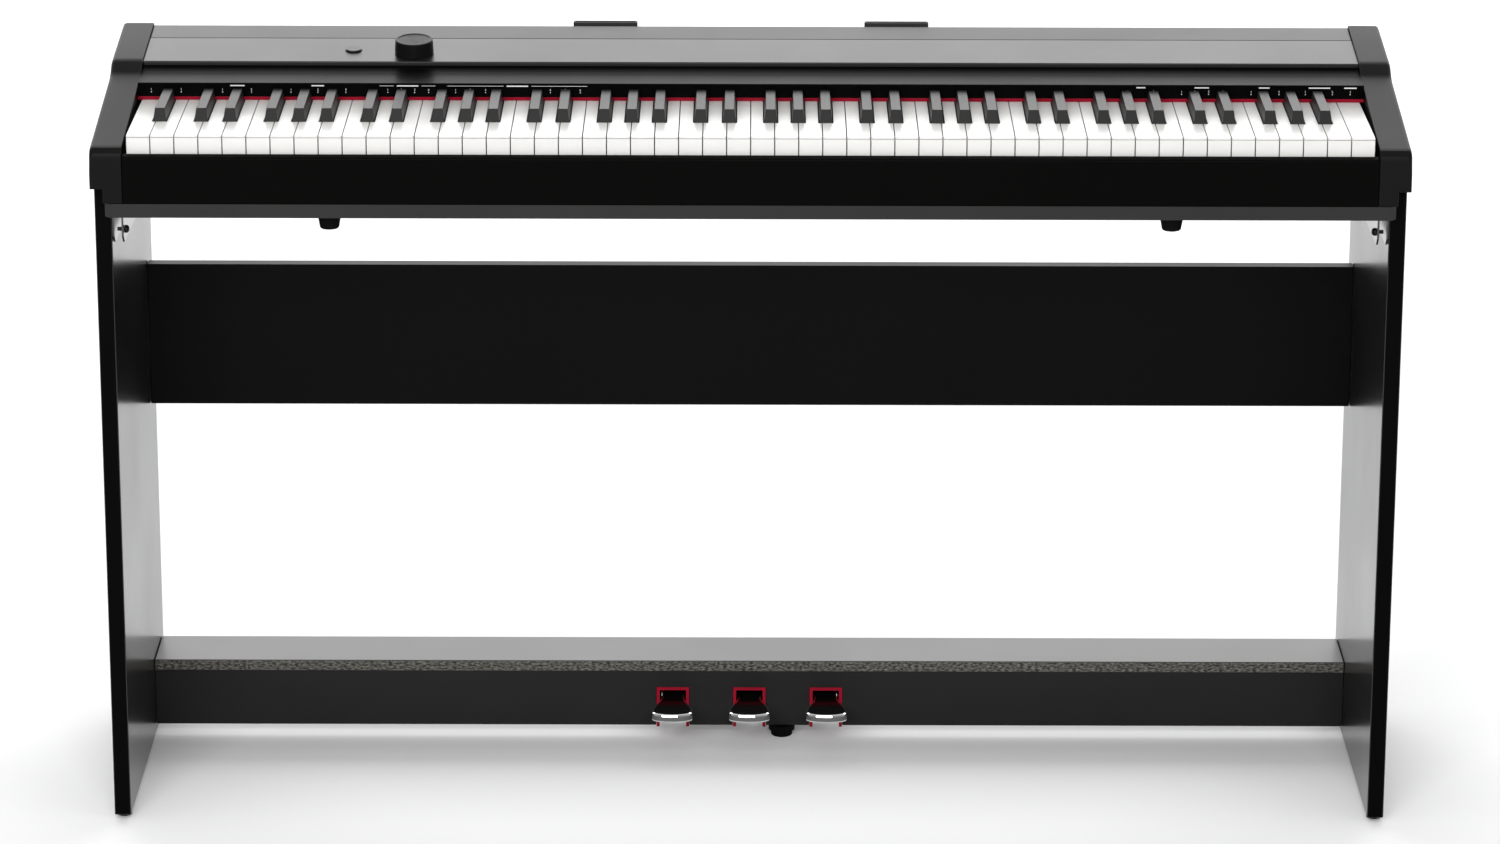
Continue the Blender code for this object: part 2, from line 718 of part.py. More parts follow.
def key_slip():
    """Front rail: a channel whose top lip hides the lower edge of the white keys."""
    bottom = CASE_RIM_Z + SEAT
    back = FRONT_Y + SLIP_DEPTH
    crest = SLIP_TOP_Z - SLIP_FALL
    outline = [
        (back, SLIP_TOP_Z), (FRONT_Y + SLIP_EDGE, crest), (FRONT_Y, crest - SLIP_EDGE), (FRONT_Y, bottom),
        (back, bottom), (back, bottom + SLIP_WALL), (FRONT_Y + SLIP_WALL, bottom + SLIP_WALL),
        (FRONT_Y + SLIP_WALL, crest - SLIP_WALL), (back, SLIP_TOP_Z - SLIP_WALL),
    ]
    return prism("key_slip", "panel", outline, (-SLAB_INNER_HALF, SLAB_INNER_HALF), "X")


def label_fascia():
    """Upright strip behind the keys, its ledge, and the cove up to the control panel."""
    seat_z = PANEL_LIP_Z - SEAT
    path = [
        (FASCIA_Y, FELT_TOP_Z + SEAT),
        (FASCIA_Y, LEDGE_Z - 0.0008),
        (FASCIA_Y + 0.0008, LEDGE_Z),
        (LEDGE_BACK_Y, LEDGE_Z + LEDGE_RISE),
        (LEDGE_BACK_Y + COVE_DEPTH * 0.5, LEDGE_Z + LEDGE_RISE + 0.0008),
        (PANEL_FRONT_Y - 0.002, seat_z),
        (PANEL_FRONT_Y + PANEL_WALL + 0.002, seat_z),
    ]
    return sheet("label_fascia", "panel", path, (-SLAB_INNER_HALF, SLAB_INNER_HALF), FASCIA_WALL, -1.0)


def felt_strip():
    return block("felt_strip", "felt", (-SLAB_INNER_HALF, SLAB_INNER_HALF),
                 (FASCIA_Y, FASCIA_Y + FASCIA_WALL * 3), (FELT_BOTTOM_Z, FELT_TOP_Z))


def control_panel():
    """Sloping top panel with a turned-down front lip and holes for knob and button."""
    edge = PANEL_EDGE
    back = PANEL_BACK_Y - PANEL_SEAM
    outline = [
        (PANEL_FRONT_Y, PANEL_LIP_Z),
        (PANEL_FRONT_Y, PANEL_FRONT_Z - edge),
        (PANEL_FRONT_Y + edge, surface_z(PANEL_FRONT_Y + edge)),
        (back, surface_z(back)),
        (back, surface_z(back) - PANEL_WALL),
        (PANEL_FRONT_Y + PANEL_WALL, surface_z(PANEL_FRONT_Y + PANEL_WALL) - PANEL_WALL),
        (PANEL_FRONT_Y + PANEL_WALL, PANEL_LIP_Z),
    ]
    panel = prism("control_panel", "panel", outline, (-SLAB_INNER_HALF, SLAB_INNER_HALF), "X")
    tilt = (PANEL_TILT, 0.0, 0.0)
    through = (-PANEL_WALL - PAST, PAST)
    shaft = rod("knob_hole", None, KNOB_SHAFT_RADIUS + 2 * SEAT, through, on_panel(KNOB_X, KNOB_Y), tilt)
    press = rod("button_hole", None, BUTTON_RADIUS + SEAT, through, on_panel(BUTTON_X, BUTTON_Y), tilt,
                SEGMENTS)
    return cut(panel, shaft, press)


def rear_cover():
    """Rear part of the top with the back wall, rebated under the control panel."""
    step = PANEL_WALL + SEAT
    rebate = PANEL_BACK_Y - PANEL_REBATE
    wall_in = REAR_Y - COVER_WALL
    turn_z = surface_z(REAR_Y - REAR_CORNER)
    inner = turn_z - COVER_WALL
    round_top = arc((REAR_Y - REAR_CORNER, turn_z - REAR_CORNER), REAR_CORNER, 90, 0, 4)
    outline = [
        (rebate, surface_z(rebate) - step),
        (PANEL_BACK_Y, surface_z(PANEL_BACK_Y) - step),
        (PANEL_BACK_Y, surface_z(PANEL_BACK_Y)),
    ] + round_top + [
        (REAR_Y, CASE_RIM_Z + SEAT),
        (wall_in, CASE_RIM_Z + SEAT),
        (wall_in, inner - REAR_CORNER / 2),
        (REAR_Y - REAR_CORNER, inner),
        (PANEL_BACK_Y + COVER_WALL, surface_z(PANEL_BACK_Y + COVER_WALL) - COVER_WALL),
        (PANEL_BACK_Y + COVER_WALL, surface_z(PANEL_BACK_Y) - step - COVER_WALL),
        (rebate, surface_z(rebate) - step - COVER_WALL),
    ]
    cover = prism("rear_cover", "shell", outline, (-SLAB_INNER_HALF, SLAB_INNER_HALF), "X")
    window = block("jack_window", None, jack_span(), (wall_in - PAST, REAR_Y + PAST), jack_heights())
    return cut(cover, window)


def jack_span():
    low = MAIN_BOARD_INSET - CHEEK_INNER_X
    return low, low + JACK_PANEL_LENGTH


def jack_heights():
    top = surface_z(REAR_Y) - JACK_DROP + JACK_PANEL_HEIGHT / 2
    middle = top - JACK_PANEL_HEIGHT / 2
    return middle - JACK_PANEL_HEIGHT / 2, middle + JACK_PANEL_HEIGHT / 2


def jack_places():
    """Middle of each round socket along the jack panel."""
    low, high = jack_span()
    middle = (low + high) / 2
    return [middle + (number - 2) * JACK_PITCH for number in range(5)]


def jack_panel():
    """Socket plate seated in the window of the back wall, with a flange behind it."""
    x = jack_span()
    z = jack_heights()
    wall_in = REAR_Y - COVER_WALL
    flange_back = wall_in - SEAT
    plate = block("jack_panel", "panel", (x[0] - JACK_FLANGE, x[1] + JACK_FLANGE),
                  (flange_back - JACK_PANEL_WALL, flange_back), (z[0] - JACK_FLANGE, z[1] + JACK_FLANGE / 3))
    face = block("jack_face", None, (x[0] + SEAT, x[1] - SEAT),
                 (flange_back - JACK_PANEL_WALL / 2, REAR_Y - 0.001), (z[0] + SEAT, z[1] - SEAT))
    fuse(plate, face)
    for number, place_x in enumerate(jack_places()):
        origin = (place_x, REAR_Y, (z[0] + z[1]) / 2)
        cut(plate, rod("jack_hole_%d" % number, None, JACK_RADIUS, (-0.010, 0.010), origin,
                       (-math.pi / 2, 0.0, 0.0)))
    return plate


def main_board():
    """Circuit board under the control panel with its pot, switch and socket bodies."""
    low = MAIN_BOARD_INSET - CHEEK_INNER_X
    front = PANEL_FRONT_Y + MAIN_BOARD_FRONT
    back = REAR_Y - COVER_WALL - JACK_PANEL_WALL - JACK_BODY_DEPTH / 2
    length = (back - front) / math.cos(PANEL_TILT)
    board = block("main_board", "board_green", (low, low + MAIN_BOARD_LENGTH), (0.0, length),
                  (-MAIN_BOARD_THICKNESS, 0.0))
    move_origin(board, (0.0, 0.0, 0.0))
    board.location = on_panel(0.0, front, -MAIN_BOARD_DROP)
    board.rotation_euler = (PANEL_TILT, 0.0, 0.0)
    tilt = (PANEL_TILT, 0.0, 0.0)
    bore = KNOB_SHAFT_RADIUS + SEAT
    sunk = MAIN_BOARD_THICKNESS / 2
    pot = turned("pot_body", None, [
        (bore, POT_HEIGHT), (POT_RADIUS, POT_HEIGHT), (POT_RADIUS, -sunk), (bore, -sunk),
    ], on_panel(KNOB_X, KNOB_Y, -MAIN_BOARD_DROP), tilt, PIN_SEGMENTS)
    switch = turned("switch_body", None, [
        (BUTTON_STEM_RADIUS + SEAT, SWITCH_HEIGHT), (SWITCH_SIZE / 2, SWITCH_HEIGHT),
        (SWITCH_SIZE / 2, -sunk), (BUTTON_STEM_RADIUS + SEAT, -sunk),
    ], on_panel(BUTTON_X, BUTTON_Y, -MAIN_BOARD_DROP), tilt, PIN_SEGMENTS)
    fuse(board, pot, switch)
    z = jack_heights()
    middle_z = (z[0] + z[1]) / 2
    body_back = REAR_Y - COVER_WALL - JACK_PANEL_WALL - 2 * SEAT
    top = on_panel(0.0, back, -MAIN_BOARD_DROP)[2] - MAIN_BOARD_THICKNESS / 2
    for number, place_x in enumerate(jack_places()):
        body_x = (place_x - JACK_PITCH / 3, place_x + JACK_PITCH / 3)
        fuse(board, block("jack_body_%d" % number, None, body_x, (body_back - JACK_BODY_DEPTH, body_back),
                          (middle_z - JACK_RADIUS * 2, top)))
    return board


def volume_knob():
    """Spun cap with a softened rim, carried on the pot's shaft."""
    bottom = KNOB_LIFT
    top = KNOB_HEIGHT
    dish = KNOB_RADIUS - KNOB_DISH_WALL
    side = KNOB_RADIUS - KNOB_TAPER
    profile = [
        (0.0, top - KNOB_DISH), (dish - KNOB_DISH_SLOPE, top - KNOB_DISH), (dish, top),
        (side - KNOB_RIM, top), (side, top - KNOB_RIM), (KNOB_RADIUS, bottom + KNOB_SKIRT),
        (KNOB_RADIUS, bottom), (KNOB_SHAFT_RADIUS, bottom), (KNOB_SHAFT_RADIUS, -KNOB_SHAFT_LENGTH),
        (0.0, -KNOB_SHAFT_LENGTH),
    ]
    return turned("volume_knob", "knob", profile, on_panel(KNOB_X, KNOB_Y), (PANEL_TILT, 0.0, 0.0), 36)


def power_button():
    """Round push button with a retaining flange below the panel and a stem to its switch."""
    under = -PANEL_WALL - SEAT
    stem_end = SWITCH_HEIGHT - MAIN_BOARD_DROP - BUTTON_TRAVEL
    flange = BUTTON_RADIUS + BUTTON_FLANGE_REACH
    flange_end = under - BUTTON_FLANGE_WALL
    profile = [
        (0.0, BUTTON_HEIGHT), (BUTTON_RADIUS - BUTTON_EASE, BUTTON_HEIGHT),
        (BUTTON_RADIUS, BUTTON_HEIGHT - BUTTON_EASE), (BUTTON_RADIUS, under), (flange, under),
        (flange, flange_end), (BUTTON_STEM_RADIUS, flange_end), (BUTTON_STEM_RADIUS, stem_end),
        (0.0, stem_end),
    ]
    return turned("power_button", "knob", profile, on_panel(BUTTON_X, BUTTON_Y), (PANEL_TILT, 0.0, 0.0))


def cheek_profile(drop=0.0, inset=0.0):
    """Side view of a cheek's top: leaning nose, long slope, concave step and plateau."""
    front = FRONT_Y + inset
    back = REAR_Y - inset
    nose = (FRONT_Y + CHEEK_NOSE_ROUND, CHEEK_NOSE_Z - drop)
    step_low = (LEDGE_BACK_Y - 0.006, nose[1] + CHEEK_SLOPE * (LEDGE_BACK_Y - 0.006 - nose[0]))
    step_high = (PANEL_FRONT_Y + 0.002, surface_z(PANEL_FRONT_Y + 0.002) + CHEEK_PROUD - drop)
    points = [(front, nose[1] - CHEEK_NOSE_ROUND)]
    for angle in (60, 30):
        turn = math.radians(angle)
        points.append((nose[0] - (nose[0] - front) * math.sin(turn),
                       nose[1] - CHEEK_NOSE_ROUND * (1 - math.cos(turn))))
    points.append(nose)
    points.append(step_low)
    for share in (0.35, 0.7):
        rise = (1 - math.cos(math.pi * share)) / 2
        points.append((step_low[0] + (step_high[0] - step_low[0]) * share,
                       step_low[1] + (step_high[1] - step_low[1]) * rise))
    points.append(step_high)
    corner = REAR_CORNER - inset
    top = surface_z(back - corner) + CHEEK_PROUD - drop
    points += arc((back - corner, top - corner), corner, 90, 0, 3)
    return points


def cheek(name, side):
    """End block: a shell with a long slope, open below, with a foot on the case rim."""
    def span(low, high):
        return (low, high) if side > 0 else (-high, -low)

    outline = [(FRONT_Y, SKIRT_Z)] + cheek_profile() + [(REAR_Y, SKIRT_Z)]
    body = prism(name, "shell", outline, span(CHEEK_INNER_X, CHEEK_OUTER_X), "X")
    round_outer_edge(body, side)
    foot_inner = CASE_HALF - CHEEK_WALL
    hollow_outline = ([(FRONT_Y + CHEEK_WALL, SKIRT_Z - PAST)] + cheek_profile(CHEEK_WALL, CHEEK_WALL)
                      + [(REAR_Y - CHEEK_WALL, SKIRT_Z - PAST)])
    for number, (low, high) in enumerate(((CHEEK_INNER_X + CHEEK_WALL, foot_inner),
                                          (CASE_HALF, CHEEK_OUTER_X - CHEEK_WALL))):
        cut(body, prism("%s_hollow_%d" % (name, number), None, hollow_outline, span(low, high), "X"))
    rim = CASE_RIM_Z + SEAT
    foot = block(name + "_foot", None, span(foot_inner, CASE_HALF), (FRONT_Y + CHEEK_WALL / 2, REAR_Y),
                 (rim, SKIRT_Z + CHEEK_WALL))
    nose = block(name + "_nose", None, span(CHEEK_INNER_X, CHEEK_INNER_X + CHEEK_NOSE_WIDTH),
                 (FRONT_Y, STAND_FRONT_Y - SEAT), (rim, SKIRT_Z + CHEEK_WALL))
    return fuse(body, foot, nose)


def round_outer_edge(body, side):
    """Round the upper outer edge of a cheek before it is hollowed."""
    outer = CHEEK_WIDTH if side > 0 else 0.0
    floor = SKIRT_Z + PAST
    form = bmesh.new()
    form.from_mesh(body.data)
    rim = []
    for edge in form.edges:
        ends = [vert.co for vert in edge.verts]
        if all(abs(end.x - outer) < 0.00001 and end.z > floor for end in ends):
            rim.append(edge)
    bmesh.ops.bevel(form, geom=rim, offset=CHEEK_ROUND, segments=2, profile=0.5, affect="EDGES",
                    clamp_overlap=True)
    form.to_mesh(body.data)
    form.free()


def slab_feet():
    """Four tapered rubber feet under the case."""
    top = SLAB_BOTTOM_Z - SEAT
    round_off = 0.001
    profile = [
        (0.0, top), (FOOT_TOP_RADIUS, top), (FOOT_BOTTOM_RADIUS, top - FOOT_HEIGHT + round_off),
        (FOOT_BOTTOM_RADIUS - round_off, top - FOOT_HEIGHT), (0.0, top - FOOT_HEIGHT),
    ]
    for row, y in (("front", FRONT_Y + FOOT_FRONT_SETBACK), ("rear", REAR_Y - FOOT_REAR_INSET)):
        for hand, side in (("left", -1), ("right", 1)):
            turned("slab_foot_%s_%s" % (row, hand), "rubber", profile, (side * FOOT_X, y, 0.0))


def key_chassis():
    """Long frame under the keys: stop rail at the front, shelf, and hinge rail with its rod."""
    wall = CHASSIS_WALL
    floor = CASE_FLOOR_Z + SEAT
    front = KEY_FRONT_Y + CHASSIS_FRONT
    rail_back = front + CHASSIS_RAIL_DEPTH
    swing = WHITE_DIP * (HINGE_Y - front) / HINGE_SETBACK
    stop = KEY_BOTTOM_Z - swing - SEAT
    shelf = CHASSIS_SHELF_Z
    web_front = HINGE_Y - HINGE_WEB / 2
    web_back = HINGE_Y + HINGE_WEB / 2
    opening = math.degrees(math.asin(HINGE_WEB / 2 / HINGE_ROD_RADIUS))
    rod_points = arc((HINGE_Y, HINGE_Z), HINGE_ROD_RADIUS, 270 - opening, -90 + opening, PIN_SEGMENTS - 1)
    outline = [
        (front, floor), (front, stop), (rail_back, stop), (rail_back, stop - wall),
        (front + wall, stop - wall), (front + wall, shelf), (web_front, shelf),
    ] + rod_points + [
        (web_back, floor), (web_back - wall, floor), (web_back - wall, shelf - wall),
        (front + wall, shelf - wall), (front + wall, floor),
    ]
    half = KEYBOARD_HALF + CHASSIS_SIDE
    return prism("key_chassis", "frame", outline, (-half, half), "X")


def contact_board():
    """Key-contact board with its rubber strip, lying on the chassis shelf."""
    low = FASCIA_Y - CONTACT_BOARD_DEPTH
    bottom = CHASSIS_SHELF_Z + SEAT
    board_top = bottom + CONTACT_BOARD_WALL
    hump = bottom + CONTACT_HUMP_HEIGHT
    third = CONTACT_BOARD_DEPTH / 3
    outline = [
        (low, bottom), (low, board_top), (low + third, board_top), (low + third + CONTACT_RAMP, hump),
        (low + 2 * third - CONTACT_RAMP, hump), (low + 2 * third, board_top), (FASCIA_Y, board_top),
        (FASCIA_Y, bottom),
    ]
    return prism("contact_board", "board_green", outline, (-KEYBOARD_HALF, KEYBOARD_HALF), "X")


def speakers():
    """Two round drivers that face down through the grilles."""
    base = CASE_FLOOR_Z + SEAT
    magnet = SPEAKER_RADIUS * 0.55
    rim_top = base + SPEAKER_RIM
    profile = [
        (0.0, base + SPEAKER_DEPTH), (magnet, base + SPEAKER_DEPTH), (magnet, base + SPEAKER_DEPTH * 0.55),
        (SPEAKER_RADIUS * 0.82, rim_top), (SPEAKER_RADIUS, rim_top), (SPEAKER_RADIUS, base),
        (SPEAKER_RADIUS * 0.80, base), (magnet * 0.6, base + SPEAKER_DEPTH * 0.4),
        (0.0, base + SPEAKER_DEPTH * 0.3),
    ]
    for hand, side in (("left", -1), ("right", 1)):
        turned("speaker_" + hand, "speaker", profile, (side * SPEAKER_X, FRONT_Y + SPEAKER_SETBACK, 0.0))


def music_rest_holders():
    """Two narrow pockets on the back of the slab that take the foot of a music rest."""
    depth = HOLDER_SLOT + 2 * HOLDER_WALL
    top = surface_z(REAR_Y) + HOLDER_PROUD
    front = REAR_Y + SEAT
    for hand, side in (("left", -1), ("right", 1)):
        middle = side * HOLDER_X
        x = (middle - HOLDER_LENGTH / 2, middle + HOLDER_LENGTH / 2)
        name = "music_rest_holder_" + hand
        body = block(name, "shell", x, (front, front + depth), (top - HOLDER_HEIGHT, top))
        slot = block(name + "_slot", None, (x[0] + HOLDER_WALL, x[1] - HOLDER_WALL),
                     (front + HOLDER_WALL, front + HOLDER_WALL + HOLDER_SLOT),
                     (top - HOLDER_HEIGHT + HOLDER_FLOOR, top + PAST))
        cut(body, slot)


# Stand

def side_panels():
    """Two upright boards, each on two round glides."""
    for hand, side in (("left", -1), ("right", 1)):
        x = (SIDE_INNER_X, SIDE_OUTER_X) if side > 0 else (-SIDE_OUTER_X, -SIDE_INNER_X)
        board = block("side_panel_" + hand, "laminate", x, (STAND_FRONT_Y, STAND_BACK_Y),
                      (GLIDE_HEIGHT, SIDE_TOP_Z))
        ease_edges(board, BOARD_EDGE)
        middle = (x[0] + x[1]) / 2
        for row, y in (("front", STAND_FRONT_Y + GLIDE_INSET), ("rear", STAND_BACK_Y - GLIDE_INSET)):
            fuse(board, rod("glide_%s_%s" % (hand, row), None, GLIDE_RADIUS, (0.0, GLIDE_HEIGHT + PAST),
                            (middle, y, 0.0), segments=16))


def modesty_panel():
    board = block("modesty_panel", "laminate", (-STAND_INNER_HALF, STAND_INNER_HALF),
                  (MODESTY_Y, MODESTY_Y + MODESTY_THICKNESS),
                  (MODESTY_TOP_Z - MODESTY_HEIGHT, MODESTY_TOP_Z))
    return ease_edges(board, BOARD_EDGE)


def pedal_shelf():
    board = block("pedal_shelf", "laminate", (-STAND_INNER_HALF, STAND_INNER_HALF),
                  (SHELF_Y, SHELF_BACK_Y), (SHELF_BOTTOM_Z, SHELF_TOP_Z))
    return ease_edges(board, BOARD_EDGE)


def pedal_places():
    return (("left", -PEDAL_SPACING), ("centre", 0.0), ("right", PEDAL_SPACING))


def pedal_front_board():
    """Board across the front of the pedal unit, with a felt-lined notch for each pedal."""
    top = SHELF_BOTTOM_Z - SEAT
    board = block("pedal_front_board", "laminate", (-STAND_INNER_HALF, STAND_INNER_HALF),
                  (FRONT_BOARD_Y, FRONT_BOARD_BACK_Y), (FRONT_BOARD_BOTTOM_Z, top))
    through = (FRONT_BOARD_Y - PAST, FRONT_BOARD_BACK_Y + PAST)
    for hand, x in pedal_places():
        cut(board, block("notch_" + hand, None, (x - SLOT_WIDTH / 2, x + SLOT_WIDTH / 2), through,
                         (FRONT_BOARD_BOTTOM_Z - PAST, SLOT_TOP_Z)))
    middle_y = (FRONT_BOARD_Y + FRONT_BOARD_BACK_Y) / 2
    insert = rod("adjuster_hole", None, ADJUSTER_STUD_RADIUS + 2 * SEAT,
                 (FRONT_BOARD_BOTTOM_Z - PAST, ADJUSTER_HEIGHT + ADJUSTER_STUD_LENGTH + PAST),
                 (ADJUSTER_X, middle_y, 0.0))
    return cut(board, insert)


def pedal_felts():
    """Felt lining of each notch: an arch open at the bottom."""
    for hand, x in pedal_places():
        outer = SLOT_WIDTH / 2 - SEAT
        inner = outer - SLOT_FELT
        low = FRONT_BOARD_BOTTOM_Z - SLOT_FELT_BELOW
        top = SLOT_TOP_Z - SEAT
        name = "pedal_felt_" + hand
        lining = block(name, "felt", (x - outer, x + outer), (FRONT_BOARD_Y, FRONT_BOARD_BACK_Y), (low, top))
        cut(lining, block(name + "_way", None, (x - inner, x + inner),
                          (FRONT_BOARD_Y - PAST, FRONT_BOARD_BACK_Y + PAST), (low - PAST, top - SLOT_FELT)))


def pedal_outline(x):
    """Plan of a pedal: rounded nose, flare down to the neck, straight arm to the hub."""
    neck = PEDAL_NECK / 2 - 2 * SEAT
    half = PEDAL_WIDTH / 2
    shoulder_y = PEDAL_TIP_Y + PEDAL_NOSE
    side = []
    steps = 5
    for i in range(steps + 1):
        share = i / steps
        ease = (1 - math.cos(math.pi * share)) / 2
        side.append((half + (neck - half) * ease, shoulder_y + share * PEDAL_FLARE))
    nose = []
    for angle in range(15, 180, 15):
        turn = math.radians(angle)
        nose.append((half * math.cos(turn), shoulder_y - PEDAL_NOSE * math.sin(turn)))
    right = [(neck, PEDAL_PIVOT_Y)] + [point for point in reversed(side)]
    left = [(-width, y) for width, y in side] + [(-neck, PEDAL_PIVOT_Y)]
    return [(x + u, y) for u, y in right + nose + left]


def pedals():
    """Three cast pedals that rock on one rod."""
    low = PEDAL_TOP_Z - PEDAL_THICKNESS
    bore = (PEDAL_ROD_RADIUS + ROD_CLEARANCE) / math.cos(math.pi / PIN_SEGMENTS)
    half = PEDAL_NECK / 2
    for hand, x in pedal_places():
        name = "pedal_" + hand
        blade = prism(name, "chrome", pedal_outline(x), (low, PEDAL_TOP_Z), "Z")
        ease_edges(blade, PEDAL_EDGE, 2)
        place_at = (x, PEDAL_PIVOT_Y, PEDAL_PIVOT_Z)
        sideways = (0.0, math.pi / 2, 0.0)
        fuse(blade, rod(name + "_hub", None, PEDAL_HUB_RADIUS, (-half, half), place_at, sideways, 16))
        cut(blade, rod(name + "_bore", None, bore, (-half - PAST, half + PAST), place_at, sideways))
        move_origin(blade, place_at)


def pedal_base():
    """Bent steel housing under the shelf, open to the front, with four ears for the rod."""
    reach = PEDAL_SPACING + PEDAL_NECK / 2 + PEDAL_BASE_SIDE
    front = FRONT_BOARD_BACK_Y + PEDAL_BASE_SETBACK
    top = SHELF_BOTTOM_Z - SEAT
    back = PEDAL_PIVOT_Y + PEDAL_EAR_DEPTH * 0.7
    bottom = PEDAL_TOP_Z - PEDAL_THICKNESS - PEDAL_TRAY_DROP - PEDAL_BASE_WALL
    path = [(front, PEDAL_TOP_Z + SEAT), (front, top), (back, top), (back, bottom), (front, bottom)]
    base = sheet("pedal_base", "steel", path, (-reach, reach), PEDAL_BASE_WALL, -1.0)
    ear_y = (PEDAL_PIVOT_Y - PEDAL_EAR_DEPTH / 2, PEDAL_PIVOT_Y + PEDAL_EAR_DEPTH / 2)
    ear_z = (bottom + PEDAL_BASE_WALL / 2, top - PEDAL_BASE_WALL / 2)
    half = PEDAL_EAR_WALL / 2
    for number, x in enumerate((half - reach, -PEDAL_SPACING / 2, PEDAL_SPACING / 2, reach - half)):
        fuse(base, block("pedal_ear_%d" % number, None, (x - half, x + half), ear_y, ear_z))
    bore = (PEDAL_ROD_RADIUS + ROD_CLEARANCE) / math.cos(math.pi / PIN_SEGMENTS)
    return cut(base, rod("pedal_base_bore", None, bore, (-reach - PAST, reach + PAST),
                         (0.0, PEDAL_PIVOT_Y, PEDAL_PIVOT_Z), (0.0, math.pi / 2, 0.0)))


def pedal_rod():
    reach = PEDAL_SPACING + PEDAL_NECK / 2 + PEDAL_BASE_SIDE + PEDAL_EAR_WALL
    return rod("pedal_rod", "steel", PEDAL_ROD_RADIUS, (-reach, reach), (0.0, PEDAL_PIVOT_Y, PEDAL_PIVOT_Z),
               (0.0, math.pi / 2, 0.0))


def adjuster_foot():
    """Knurled foot on a threaded stud that reaches into the front board's lower edge."""
    y = (FRONT_BOARD_Y + FRONT_BOARD_BACK_Y) / 2
    outline = []
    for i in range(ADJUSTER_TEETH * 2):
        radius = ADJUSTER_RADIUS - (ADJUSTER_TOOTH if i % 2 else 0.0)
        angle = math.pi * i / ADJUSTER_TEETH
        outline.append((ADJUSTER_X + radius * math.cos(angle), y + radius * math.sin(angle)))
    knurl_low = ADJUSTER_HEIGHT - ADJUSTER_KNURL_HEIGHT
    foot = prism("adjuster_foot", "rubber", outline, (knurl_low, ADJUSTER_HEIGHT), "Z")
    post = turned("adjuster_post", None, [
        (0.0, ADJUSTER_HEIGHT + ADJUSTER_STUD_LENGTH),
        (ADJUSTER_STUD_RADIUS, ADJUSTER_HEIGHT + ADJUSTER_STUD_LENGTH),
        (ADJUSTER_STUD_RADIUS, knurl_low + PAST),
        (ADJUSTER_BASE_RADIUS, knurl_low + PAST),
        (ADJUSTER_BASE_RADIUS, 0.0012),
        (ADJUSTER_BASE_RADIUS - 0.0012, 0.0),
        (0.0, 0.0),
    ], (ADJUSTER_X, y, 0.0))
    fuse(foot, post)
    return move_origin(foot, (ADJUSTER_X, y, 0.0))


def brackets():
    """Pressed channel at the top of each side board, with the screw that grips the slab."""
    top = SLAB_BOTTOM_Z - SEAT
    low = top - BRACKET_HEIGHT
    y = (STAND_FRONT_Y, STAND_FRONT_Y + BRACKET_DEPTH)
    corner = BRACKET_CORNER
    outline = [
        (y[0], top), (y[0], low + corner), (y[0] + corner, low), (y[1] - corner, low), (y[1], low + corner),
        (y[1], top),
    ]
    for hand, side in (("left", -1), ("right", 1)):
        outer = STAND_INNER_HALF
        inner = outer - BRACKET_WIDTH

        def span(a, b):
            return (a, b) if side > 0 else (-b, -a)

        name = "bracket_" + hand
        channel = prism(name, "steel", outline, span(inner, outer), "X")
        cut(channel, block(name + "_channel", None, span(inner + BRACKET_WALL, outer - BRACKET_WALL),
                           (y[0] - PAST, y[1] + PAST), (low - PAST, top - BRACKET_WALL)))
        screw_at = (side * inner, STAND_FRONT_Y + SCREW_SETBACK, top - SCREW_DROP)
        turn = (0.0, -side * math.pi / 2, 0.0)
        hole = SCREW_SHANK_RADIUS + SCREW_HOLE_CLEARANCE
        cut(channel, rod(name + "_hole", None, hole, (-BRACKET_WALL - PAST, PAST), screw_at, turn))
        head = SCREW_HEAD_LENGTH + SEAT
        turned("thumb_screw_" + hand, "steel", [
            (0.0, head), (SCREW_HEAD_RADIUS * 0.6, head - 0.0006), (SCREW_HEAD_RADIUS, head - 0.0022),
            (SCREW_HEAD_RADIUS, SEAT), (SCREW_SHANK_RADIUS, SEAT),
            (SCREW_SHANK_RADIUS, BRACKET_WALL * 2 - BRACKET_WIDTH), (0.0, BRACKET_WALL * 2 - BRACKET_WIDTH),
        ], screw_at, turn, PIN_SEGMENTS)


def shade():
    """Smooth shading on round pieces, sharp at real corners."""
    for piece in PARTS.objects:
        piece.data.shade_smooth()
        piece.data.set_sharp_from_angle(angle=math.radians(32))


def build():
    bottom_case()
    key_slip()
    label_fascia()
    felt_strip()
    control_panel()
    rear_cover()
    jack_panel()
    main_board()
    volume_knob()
    power_button()
    cheek("cheek_left", -1)
    cheek("cheek_right", 1)
    slab_feet()
    key_chassis()
    contact_board()
    speakers()
    music_rest_holders()
    keyboard()
    side_panels()
    modesty_panel()
    pedal_shelf()
    pedal_front_board()
    pedal_felts()
    pedals()
    pedal_base()
    pedal_rod()
    adjuster_foot()
    brackets()
    shade()


build()
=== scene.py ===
"""Looks of the digital piano: materials, softened edges, marks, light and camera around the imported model."""
import json
import math

import bmesh
import bpy
from mathutils import Matrix, Vector


